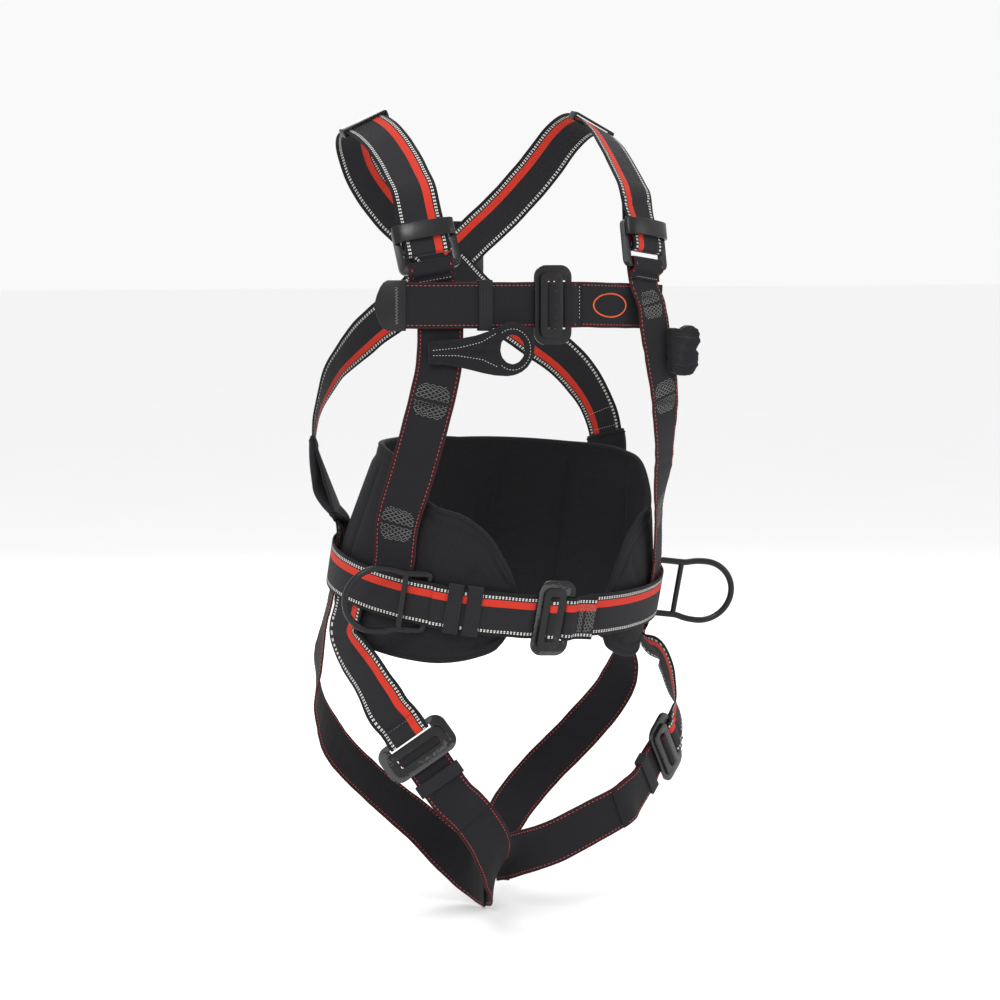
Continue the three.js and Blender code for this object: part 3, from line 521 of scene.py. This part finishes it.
def bartack(u, length=33.0, half=17.0, lines=7, zig=3.1):
    """An oval patch of zigzag stitching in two mirrored halves, with a gap down its middle."""
    marks = []
    for sign in (-1, 1):
        for k in range(lines):
            f = (k + 0.5) / lines
            off = sign * (1.3 + f * (length / 2 - 1.3))
            reach = half * math.sqrt(max(0.0, 1 - (f * 0.88) ** 3.2))
            steps = max(3, int(2 * reach / zig))
            for j in range(steps):
                v0, v1 = -reach + 2 * reach * j / steps, -reach + 2 * reach * (j + 1) / steps
                low, high = (off - 1.0, off + 1.0) if (j + k) % 2 else (off + 1.0, off - 1.0)
                marks.append(((u + low, v0), (u + high, v1)))
    return marks


WEBS = {}
STRIPED = {
    "shoulder_strap_right": (1, 0, 0),
    "shoulder_strap_left": (-1, 0, 0),
    "belt_strap_right": (0, 0, 1),
    "belt_strap_left": (0, 0, 1),
    "hip_strap_right": (1, 0.2, 0.6),
    "hip_strap_left": (-1, -0.3, 0.6),
    "back_strap_right": (0, 1, -0.2),
    "back_strap_left": (0, 1, -0.2),
}
for name, red in STRIPED.items():
    WEBS[name] = Web(name, red=red)
    ribbon(WEBS[name], "striped_webbing")
PLAIN = {
    "front_strap_right": 0.35,
    "front_strap_left": 0.35,
    "chest_strap_right": 0.06,
    "chest_strap_left": 0.06,
    "leg_strap_right": 0.12,
    "leg_strap_left": 0.12,
    "seat_strap_right": 0.25,
    "seat_strap_left": 0.25,
}
for name, waves in PLAIN.items():
    web = WEBS[name] = Web(name)
    ribbon(web, "plain_webbing", waves)
    rows = sewn(web, edge_rows(web))
    grains(f"{name}_edge_stitching", rows, BODY[name], "plain_webbing", "red_thread", 0.36 * MM)
dorsal_web = Web("dorsal_loop", half=20 * MM)
ribbon(dorsal_web, "plain_webbing")


# ---- hardware ----


def kept(node, bevel, segments=2, angle=25, smooth=32):
    """The CAD solid with its edges softened, standing for the node."""
    bm = welded(node)
    bmesh.ops.dissolve_limit(bm, angle_limit=math.radians(1), verts=bm.verts, edges=bm.edges)
    me = bpy.data.meshes.new(node)
    bm.to_mesh(me)
    bm.free()
    obj = bpy.data.objects.new(f"{node}_finished", me)
    scene.collection.objects.link(obj)
    mod = obj.modifiers.new("edges", "BEVEL")
    mod.width = bevel * MM
    mod.segments = segments
    mod.limit_method = "ANGLE"
    mod.angle_limit = math.radians(angle)
    mod.use_clamp_overlap = True
    done = baked(obj)
    done.polygons.foreach_set("use_smooth", [True] * len(done.polygons))
    done.set_sharp_from_angle(angle=math.radians(smooth))
    if SLOT[node] in ("elastic", "plain_webbing"):
        co = np.array([v.co for v in done.vertices])
        centre = co.mean(0)
        axes = np.linalg.svd(co - centre, full_matrices=False)[2]
        local = (co - centre) @ axes.T / MM
        along_first = local[:, [1, 0, 2]] * [1, 0.8, 1]
        layer = done.attributes.new("web", "FLOAT_VECTOR", "POINT")
        layer.data.foreach_set("vector", np.ascontiguousarray(along_first, np.float32).ravel())
    done.materials.clear()
    done.materials.append(MATERIAL[SLOT[node]])
    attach(obj, BODY[node])
    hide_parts(node)
    return obj


for node in SLOT:
    if node.endswith("_cover"):
        kept(node, 0.8, 3)
    elif node.startswith("shoulder_adjuster"):
        kept(node, 0.7, 3)
    elif node.startswith("shoulder_slider"):
        kept(node, 0.7, 3)
    elif "keeper" in node:
        kept(node, 0.45, 3)
    elif node in ("dorsal_plate",):
        kept(node, 1.2, 3)
    elif node == "chest_end_cap":
        kept(node, 1.1, 3)
    elif node.endswith(("buckle_frame", "buckle_bar")) or node.startswith("leg_buckle"):
        kept(node, 0.8, 3)


def netted(name, grid, body, slot, wrap_u, wrap_v, material=None):
    """A mesh over a grid of points, grid[i][j], closed round either way when asked."""
    rows, cols = len(grid), len(grid[0])
    verts = [q for row in grid for q in row]
    faces = []
    for i in range(rows if wrap_u else rows - 1):
        for j in range(cols if wrap_v else cols - 1):
            k, m = (i + 1) % rows, (j + 1) % cols
            faces.append((i * cols + j, k * cols + j, k * cols + m, i * cols + m))
    if not wrap_u:
        faces.append(tuple(range(cols)))
        faces.append(tuple(range((rows - 1) * cols, rows * cols))[::-1])
    return piece(name, verts, faces, body, slot, material=material)


def outward(obj):
    """Turns the faces to point out."""
    bm = bmesh.new()
    bm.from_mesh(obj.data)
    bmesh.ops.recalc_face_normals(bm, faces=bm.faces)
    bm.to_mesh(obj.data)
    bm.free()
    return obj


# ---- waist pad ----

WAIST_A, WAIST_B = 161, 111
WAIST_Z = 348
BELT_PITCH, BELT_ROLL = 13, 3.7
WAIST = Matrix.Translation((0, 0, WAIST_Z * MM))
WAIST @= Matrix.Rotation(math.radians(BELT_PITCH), 4, "X")
WAIST @= Matrix.Rotation(math.radians(BELT_ROLL), 4, "Y")
PAD_LEAN, PAD_LEAN_FROM = 0.2, 22.5
PAD_TURN = 7.5
PAD_T = 10
PAD_NOSE = 18.9
PAD_RIM_HALF, PAD_SWELL = 2.3, 1.3
PAD_GROOVE, PAD_GROOVE_HALF = 2.6, 2.6
PAD_PRESSURE = 4
PAD_FRAMES = 20
PAD_PUFF, PAD_PUFF_MOST = 3.2, 3.9
# Degrees from its front centre, top edge, bottom edge
PAD_EDGE = np.array([
    (20, 30, -30),
    (24, 42, -40),
    (31, 66, -50),
    (42, 84, -59),
    (56, 90, -62),
    (70, 104, -62),
    (84, 124, -61),
    (100, 128, -60),
    (135, 122, -58),
    (180, 116, -56),
])


def waist_point(deg, off, z):
    a = math.radians(deg)
    return WAIST @ Vector(((WAIST_A + off) * math.sin(a) * MM, -(WAIST_B + off) * math.cos(a) * MM, z * MM))


def pad_height(around, column):
    """The pad's upper (1) or lower (2) edge, eased between its corners and rounded at its nose."""
    a = 180 - abs(180 - around)
    k = int(np.clip(np.searchsorted(PAD_EDGE[:, 0], a) - 1, 0, len(PAD_EDGE) - 2))
    x0, x1 = PAD_EDGE[k, 0], PAD_EDGE[k + 1, 0]
    y = PAD_EDGE[:, column]
    x = PAD_EDGE[:, 0]
    slope = np.gradient(y, x)
    f = np.clip((a - x0) / (x1 - x0), 0, 1)
    d = x1 - x0
    value = eased(f, d, y[k], y[k + 1], slope[k], slope[k + 1])
    if a < 25:
        value *= math.sqrt(max(0.05, 1 - ((25 - a) / (25.2 - PAD_NOSE)) ** 2))
    return value


def pad_point(around, f, off):
    low, high = pad_height(around, 2), pad_height(around, 1)
    z = low + (high - low) * f
    return waist_point(around + PAD_TURN, off - PAD_LEAN * max(0.0, z - PAD_LEAN_FROM), z), z


PAD_COLUMNS, PAD_ROWS = 188, 34
PAD_SEAM = 11.5
QUILT = [((30, 60), (37, 24)), ((96, 116), (96, -50)), ((128, 112), (128, -48)), ((160, 108), (160, -46))]


def seam_distance(around, z):
    """Millimetres from the nearest quilting seam of the pad."""
    a = 180 - abs(180 - around)
    best = min(abs(pad_height(around, 1) - z - PAD_SEAM), abs(z - pad_height(around, 2) - PAD_SEAM))
    best = best if a > 23.5 else 99.0
    for (a0, z0), (a1, z1) in QUILT:
        if min(z0, z1) <= z <= max(z0, z1):
            line = a0 + (a1 - a0) * (z - z0) / (z1 - z0)
            best = min(best, abs(a - line) * 2.4)
    return best


def pad_limit(z):
    """How far out the pad may stand: less under the belt and the rings' bars."""
    return 10.05 + 2.3 * min(1.0, max(0.0, (abs(z) - 36) / 16))


def waist_pad():
    verts, pins, where = [], [], []
    columns = PAD_COLUMNS + 1
    for side in (0, 1):
        for i in range(columns):
            around = PAD_NOSE + (360 - 2 * PAD_NOSE) * i / PAD_COLUMNS
            for j in range(PAD_ROWS + 1):
                f = j / PAD_ROWS
                rim = min(i, PAD_COLUMNS - i, j, PAD_ROWS - j)
                half = PAD_RIM_HALF + PAD_SWELL * min(1.0, rim / 2)
                q, z = pad_point(around, f, PAD_T / 2 + (half if side else -half))
                seam = seam_distance(around, z)
                if seam < PAD_GROOVE_HALF and rim > 1:
                    sunk = half - PAD_GROOVE
                    q, z = pad_point(around, f, PAD_T / 2 + (sunk if side else -sunk))
                verts.append(q)
                pins.append(1.0 if rim == 0 or seam < PAD_GROOVE_HALF else 0.0)
                where.append((around, z))
    stride = PAD_ROWS + 1
    sheet_size = columns * stride
    faces = []
    for side in (0, 1):
        for i in range(PAD_COLUMNS):
            for j in range(PAD_ROWS):
                a = side * sheet_size + i * stride + j
                quad = (a, a + stride, a + stride + 1, a + 1)
                faces.append(quad if side else quad[::-1])
    border = [i * stride for i in range(columns)]
    border += [PAD_COLUMNS * stride + j for j in range(1, stride)]
    border += [i * stride + PAD_ROWS for i in range(PAD_COLUMNS - 1, -1, -1)]
    border += [j for j in range(PAD_ROWS - 1, 0, -1)]
    for a, b in zip(border, border[1:] + border[:1]):
        faces.append((a, b, b + sheet_size, a + sheet_size))
    obj = piece("waist_pad_cover", verts, faces, BODY["waist_pad"], "padding")
    rest = np.array([tuple(v) for v in verts])
    group = obj.vertex_groups.new(name="pins")
    for k, pin in enumerate(pins):
        if pin:
            group.add([k], pin, "REPLACE")
    mod = obj.modifiers.new("cloth", "CLOTH")
    mod.settings.quality = 4
    mod.settings.use_pressure = True
    mod.settings.uniform_pressure_force = PAD_PRESSURE
    mod.settings.vertex_group_mass = "pins"
    mod.settings.effector_weights.gravity = 0
    mod.collision_settings.use_collision = False
    mod.point_cache.frame_start = 1
    mod.point_cache.frame_end = PAD_FRAMES
    for k in range(1, PAD_FRAMES + 1):
        scene.frame_set(k)
    puffed = obj.evaluated_get(bpy.context.evaluated_depsgraph_get()).data
    co = np.empty(len(verts) * 3, np.float32)
    puffed.vertices.foreach_get("co", co)
    move = co.reshape(-1, 3) - rest
    obj.modifiers.clear()
    scene.frame_set(1)
    size = np.linalg.norm(move, axis=1)
    scale = PAD_PUFF * MM / max(np.percentile(size, 92), 1e-6)
    move *= scale
    size *= scale
    move *= np.minimum(1.0, PAD_PUFF_MOST * MM / np.maximum(size, 1e-9))[:, None]
    rest = rest + move
    inverse = WAIST.inverted()
    for k, (around, z) in enumerate(where):
        local = inverse @ Vector(rest[k])
        a = math.radians(around + PAD_TURN)
        face = Vector((math.sin(a) / WAIST_A, -math.cos(a) / WAIST_B, 0)).normalized()
        flat = Vector((WAIST_A * math.sin(a), -WAIST_B * math.cos(a), 0)) * MM
        lean = PAD_LEAN * max(0.0, local.z / MM - PAD_LEAN_FROM)
        out = (Vector((local.x, local.y, 0)) - flat).dot(face) / MM + lean
        extra = out - min(pad_limit(local.z / MM), max(-2.2, out))
        rest[k] = WAIST @ (local - face * extra * MM)
    obj.data.vertices.foreach_set("co", rest.astype(np.float32).ravel())
    obj.data.update()
    mod = obj.modifiers.new("fine", "SUBSURF")
    mod.levels = mod.render_levels = 1
    baked(obj)
    outward(obj)
    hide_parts("waist_pad")
    rim_path = [(Vector(rest[a]) + Vector(rest[a + sheet_size])) / 2 for a in border]
    return rim_path


def tube(name, path, radius, body, slot, sides=14, closed=True, flat=None, material=None):
    """A round or flattened tube along a path of points."""
    p = np.array([tuple(q) for q in path])
    ahead = np.roll(p, -1, axis=0) if closed else np.vstack([p[1:], p[-1:]])
    behind = np.roll(p, 1, axis=0) if closed else np.vstack([p[:1], p[:-1]])
    t = ahead - behind
    t /= np.maximum(np.linalg.norm(t, axis=1), 1e-9)[:, None]
    grid = []
    up = None
    for k in range(len(p)):
        if flat is not None:
            up = np.array(flat(p[k]))
        elif up is None:
            up = np.array([0.3, 0.5, 0.8])
        side = np.cross(t[k], up)
        side /= np.linalg.norm(side)
        up = np.cross(side, t[k])
        r0, r1 = radius if isinstance(radius, tuple) else (radius, radius)
        angles = [2 * math.pi * j / sides for j in range(sides)]
        grid.append([Vector(p[k] + side * math.cos(x) * r0 + up * math.sin(x) * r1) for x in angles])
    return outward(netted(name, grid, body, slot, closed, True, material=material))


def waist_face(p):
    local = WAIST.inverted() @ Vector(p)
    n = Vector((local.x / WAIST_A**2, local.y / WAIST_B**2, 0)).normalized()
    return WAIST.to_3x3() @ n


BINDING = (3.1 * MM, 3.3 * MM)
tube("waist_pad_binding", waist_pad(), BINDING, BODY["waist_pad"], "padding", sides=12, flat=waist_face)

# ---- padded sleeves on the back straps ----


def sleeve(side):
    node = f"back_sleeve_{side}"
    web = WEBS[f"back_strap_{side}"]
    low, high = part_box(node)
    edge = 1e-4
    within = lambda q: all(low[k] - edge <= q[k] <= high[k] + edge for k in range(3))
    inside = [u for u in np.arange(0, web.length, 1.0) if within(web.at(u))]
    u0, u1 = min(inside) + 1, max(inside) - 1
    stations_, around = 44, 48
    grid = []
    for i in range(stations_ + 1):
        f = i / stations_
        puff = math.sin(math.pi * min(max(f, 0.0), 1.0)) ** 0.35
        row = []
        for j in range(around):
            x = 2 * math.pi * j / around
            c, d = math.cos(x), math.sin(x)
            v = (25.2 + 1.2 * puff) * math.copysign(abs(c) ** 0.55, c)
            w = (3.0 + 2.3 * puff) * math.copysign(abs(d) ** 0.75, d)
            w -= math.copysign(1.5 * math.exp(-((v / 2.4) ** 2)) * puff, d)
            row.append(Vector(web.at(u0 + (u1 - u0) * f, v, w)))
        grid.append(row)
    for f in (1.0, 0.0):
        row = []
        for j in range(around):
            x = 2 * math.pi * j / around
            c, d = math.cos(x), math.sin(x)
            v = 23.3 * math.copysign(abs(c) ** 0.3, c)
            w = 1.7 * math.copysign(abs(d) ** 0.3, d)
            row.append(Vector(web.at(u0 + (u1 - u0) * (0.985 if f else 0.015), v, w)))
        grid.append(row)
    obj = outward(netted(f"{node}_cover", grid, BODY[node], "padding", True, True))
    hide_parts(node)
    span = u1 - u0
    for edge, where in (("upper", 0.04), ("lower", 0.96)):
        ring = []
        for j in range(40):
            x = 2 * math.pi * j / 40
            c, d = math.cos(x), math.sin(x)
            v = 25.6 * math.copysign(abs(c) ** 0.5, c)
            w = 3.6 * math.copysign(abs(d) ** 0.7, d)
            ring.append(Vector(web.at(u0 + span * where, v, w)))
        tube(f"{node}_{edge}_binding", ring, 1.0 * MM, BODY[node], "padding", sides=8)


for side in ("right", "left"):
    sleeve(side)

# ---- rings ----

RING_HALF, RING_SLOT, RING_EYE, RING_BULGE = 29, 25, 51, 32.5
BAR_R = 3.25
BAR_SIDES = 22


def bezier(a, b, c, d, count):
    out = []
    for k in range(count):
        t = k / count
        m = 1 - t
        weights = m**3, 3 * m * m * t, 3 * m * t * t, t**3
        out.append(tuple(sum(w * q[i] for w, q in zip(weights, (a, b, c, d))) for i in (0, 1)))
    return out


def line(a, b, count):
    return [(a[0] + (b[0] - a[0]) * k / count, a[1] + (b[1] - a[1]) * k / count) for k in range(count)]


def bow(cx, radius, count):
    angles = np.linspace(math.pi / 2, -math.pi / 2, count, endpoint=False)
    return [(cx + radius * math.cos(x), radius * math.sin(x)) for x in angles]


def corner(a, b, c, count=8):
    third = lambda p, q: (p[0] + (q[0] - p[0]) * 2 / 3, p[1] + (q[1] - p[1]) * 2 / 3)
    return bezier(a, third(a, b), third(c, b), c, count)


def side_outline():
    h, s, e, r = RING_HALF, RING_SLOT, RING_EYE, RING_BULGE
    out = line((0, 5 - h), (0, h - 5), 14) + corner((0, h - 5), (0, h), (5, h)) + line((5, h), (s, h), 8)
    out += bezier((s, h), (s + 8, h), (e - 16, r), (e, r), 14) + bow(e, r, 44)
    out += bezier((e, -r), (e - 16, -r), (s + 8, -h), (s, -h), 14)
    return out + line((s, -h), (5, -h), 8) + corner((5, -h), (0, -h), (0, 5 - h))


def dorsal_outline():
    out = line((0, -22), (0, 22), 14) + corner((0, 22), (0, 29), (8, 29))
    out += bezier((8, 29), (16, 29), (22, 30), (30, 30), 10) + bow(30, 30, 44)
    out += bezier((30, -30), (22, -30), (16, -29), (8, -29), 10)
    return out + corner((8, -29), (0, -29), (0, -22))


def hinge(node):
    """A swinging piece's own directions, read from its joint and its solid: (origin, along, axis)."""
    joint = next(j for j in frame["record"]["behaviour"]["joints"] if j["child"] == BODY[node])
    origin, axis = Vector(joint["pos_m"]), Vector(joint["axis"]).normalized()
    bm = welded(node)
    reach = sum((v.co for v in bm.verts), Vector()) / len(bm.verts) - origin
    bm.free()
    return origin, (reach - axis * reach.dot(axis)).normalized(), axis


def ring(node, outline, cross=None):
    origin, along, up = hinge(node)
    at = lambda q: origin + (along * q[0] + up * q[1]) * MM
    face = along.cross(up)
    look = {"sides": BAR_SIDES, "flat": lambda p: face}
    loop = [at(q) for q in outline]
    obj = tube(f"{node}_bar", loop, BAR_R * MM, BODY[node], "coated_metal", **look)
    if cross:
        path = [at((cross, y)) for y in np.linspace(-RING_HALF, RING_HALF, 12)]
        thin = (BAR_R - 0.4) * MM
        bar = tube(f"{node}_cross", path, thin, BODY[node], "coated_metal", closed=False, **look)
        mod = obj.modifiers.new("join", "BOOLEAN")
        mod.operation = "UNION"
        mod.object = bar
        done = baked(obj)
        bpy.data.objects.remove(bar)
        done.polygons.foreach_set("use_smooth", [True] * len(done.polygons))
        done.set_sharp_from_angle(angle=math.radians(50))
    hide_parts(node)


ring("side_ring_right", side_outline(), RING_SLOT)
ring("side_ring_left", side_outline(), RING_SLOT)
ring("dorsal_ring", dorsal_outline())

# ---- chest loops: thick folded webbing ----


def soft_loop(node, crumple, pull):
    """The loop's solid rounded off like thick sewn webbing, with folds along it."""
    origin, along, across = hinge(node)
    out = along.cross(across)
    bm = welded(node)
    me = bpy.data.meshes.new(node)
    bm.to_mesh(me)
    bm.free()
    obj = bpy.data.objects.new(f"{node}_webbing", me)
    scene.collection.objects.link(obj)
    remesh = obj.modifiers.new("voxels", "REMESH")
    remesh.mode = "VOXEL"
    remesh.voxel_size = 1.0 * MM
    smooth = obj.modifiers.new("round", "SMOOTH")
    smooth.factor = 0.5
    smooth.iterations = 9
    done = baked(obj)
    base = Vector(origin)
    tags = []
    for vert in done.vertices:
        d = (vert.co - base) / MM
        x, y = d.dot(along), d.dot(across)
        fold = math.sin(x * 0.16 + y * 0.22) * math.cos(y * 0.31 - x * 0.05)
        fan = math.sin(y * 26 / (8 + 0.45 * max(x, 0.0)))
        vert.co += out * (crumple * fold + pull * fan) * MM
        tags.append((x, y * 0.6, 0))
    layer = done.attributes.new("web", "FLOAT_VECTOR", "POINT")
    layer.data.foreach_set("vector", np.asarray(tags, np.float32).ravel())
    done.polygons.foreach_set("use_smooth", [True] * len(done.polygons))
    done.materials.clear()
    done.materials.append(MATERIAL["plain_webbing"])
    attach(obj, BODY[node])
    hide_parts(node)
    return obj, base, along, across, out


def surface_rows(made, lines, sides=(1, -1), pitch=3.0, stitch=1.8):
    """Stitching laid on a piece's face along flat lines of (x, y) points in millimetres."""
    obj, base, along, across, out = made
    points_of = [v.co for v in obj.data.vertices]
    tree = BVHTree.FromPolygons(points_of, [p.vertices[:] for p in obj.data.polygons])
    rows = []
    for points in lines:
        p = np.array(points, float)
        s = np.concatenate([[0], np.cumsum(np.linalg.norm(np.diff(p, axis=0), axis=1))])
        for a in np.arange(0, s[-1] - stitch, pitch):
            for side in sides:
                ends = []
                for u in (a, a + stitch):
                    x, y = np.interp(u, s, p[:, 0]), np.interp(u, s, p[:, 1])
                    start = base + (along * x + across * y) * MM + out * side * 30 * MM
                    hit = tree.ray_cast(start, -out * side)[0]
                    if hit:
                        ends.append(hit)
                if len(ends) == 2:
                    rows.append((ends[0], ends[1], out * side))
    return rows


loop_right = soft_loop("chest_loop_right", 1.4, 0.5)
loop_left = soft_loop("chest_loop_left", 1.4, 0.4)
fan = [[(4, 2.5 * k), (28, 3.6 * k), (52, 8.5 * k), (68, 17 * k)] for k in (-1, 1)]
arc = [(82 + 17.5 * math.cos(a), 20 * math.sin(a)) for a in np.linspace(-2.3, 2.3, 40)]
body = BODY["chest_loop_right"]
rows = surface_rows(loop_right, fan + [arc])
grains("chest_loop_right_stitching", rows, body, "plain_webbing", "white_thread", 0.34 * MM)
crease = [[(5, -15), (20, -17), (33, -14)], [(5, 13), (20, 12), (34, 11)]]
body = BODY["chest_loop_left"]
rows = surface_rows(loop_left, crease)
grains("chest_loop_left_stitching", rows, body, "plain_webbing", "black_thread", 0.34 * MM)

# ---- sewn marks on the straps ----


def marks(name, node, lines, material, radius, sides=(1, -1)):
    rows = sewn(WEBS[node], lines, sides)
    grains(name, rows, BODY[node], SLOT[node], material, radius * MM)


for side, first, second, line_at in (("right", 192, 63, (316, 359.2)), ("left", 173, 299, (1.8, 44))):
    node = f"front_strap_{side}"
    marks(f"{node}_bartacks", node, bartack(first) + bartack(second), "grey_thread", 0.34)
    rows = cross_row(line_at[0]) + cross_row(line_at[1])
    marks(f"{node}_cross_stitching", node, rows, "white_thread", 0.3)
marks("front_strap_left_patch", "front_strap_left", bartack(78, 28, 15), "grey_thread", 0.34)
marks("chest_strap_left_cross_stitching", "chest_strap_left", cross_row(1.8), "white_thread", 0.3)
marks("belt_strap_left_bartack", "belt_strap_left", bartack(12, 23, 15, 6), "grey_thread", 0.36)
for side in ("right", "left"):
    hip, back = f"hip_strap_{side}", f"back_strap_{side}"
    marks(f"{hip}_cross_stitching", hip, cross_row(1.8), "grey_thread", 0.3)
    rows = cross_row(131) + cross_row(150) + cross_row(169)
    marks(f"{back}_cross_stitching", back, rows, "white_thread", 0.3)


def emblem(node, u, half_u, half_v):
    """A plain embroidered oval, with nothing inside it."""
    web = WEBS[node]
    rows = []
    count = 92
    side = 1 if normal_at(web, u, 1)[1] < 0 else -1
    for k in range(count):
        a = 2 * math.pi * k / count
        inner = (u + (half_u - 0.9) * math.cos(a), (half_v - 0.9) * math.sin(a))
        outer = (u + (half_u + 0.9) * math.cos(a + 0.03), (half_v + 0.9) * math.sin(a + 0.03))
        rows += sewn(web, [(inner, outer)], (side,), 1.0)
    grains(f"{node}_oval", rows, BODY[node], SLOT[node], "orange_thread", 0.5 * MM)


zigzag = []
for k in range(12):
    low = -18 + 3 * k
    zigzag += [((4.5, low), (7.5, low + 1.5)), ((7.5, low + 1.5), (4.5, low + 3))]
cap_web = WEBS["chest_strap_right"]
cap_at = Vector(cap_web.at(0))
steps = cap_web.at(1), cap_web.at(0, 1), cap_web.at(0, 0, 1)
directions = [(Vector(q) - cap_at).normalized() for q in steps]
cap = (bpy.data.objects["chest_end_cap_finished"], cap_at, *directions)
rows = surface_rows(cap, [list(pair) for pair in zigzag], stitch=3.2, pitch=9.0)
grains("chest_end_cap_stitching", rows, BODY["chest_end_cap"], "moulded_plastic", "grey_thread", 0.32 * MM)
emblem("chest_strap_left", 79, 21.5, 11.5)

# ---- stage and light ----

floor_mesh = bpy.data.meshes.new("floor")
SIZE = 40.0
floor_z = cad_box[0][2] - 0.001
corners = [(-SIZE, -SIZE), (SIZE, -SIZE), (SIZE, SIZE), (-SIZE, SIZE)]
floor_mesh.from_pydata([(x, y, floor_z) for x, y in corners], [], [(0, 1, 2, 3)])
floor = bpy.data.objects.new("floor", floor_mesh)
scene.collection.objects.link(floor)
pale = Shader("floor_pale")
spot = pale.noise(pale.place(), 3.0, 4.0, 0.6)
paint = pale.mix(spot, (0.93, 0.93, 0.93, 1), (0.96, 0.96, 0.96, 1))
floor_mesh.materials.append(pale.finish(paint, 0.75, spot, 0.0002, 0.1))
floor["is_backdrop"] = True

world = bpy.data.worlds.new("studio")
scene.world = world
world.use_nodes = True
world.node_tree.nodes["Background"].inputs[0].default_value = (1, 1, 1, 1)
world.node_tree.nodes["Background"].inputs[1].default_value = 0.95

LIGHTS = {
    "key": ((-1.6, -2.4, 2.2), 1.0, 46),
    "fill": ((2.3, -1.8, 1.2), 1.4, 12),
    "rim": ((0.8, 2.4, 1.9), 1.2, 26),
    "top": ((0, 0.2, 2.8), 1.4, 14),
}
for name, (where, size, power) in LIGHTS.items():
    lamp = bpy.data.lights.new(name, "AREA")
    lamp.size = size
    lamp.energy = power
    light = bpy.data.objects.new(name, lamp)
    light.location = where
    light.rotation_euler = (Vector((0, 0, 0.42)) - Vector(where)).to_track_quat("-Z", "Y").to_euler()
    scene.collection.objects.link(light)

low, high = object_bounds()
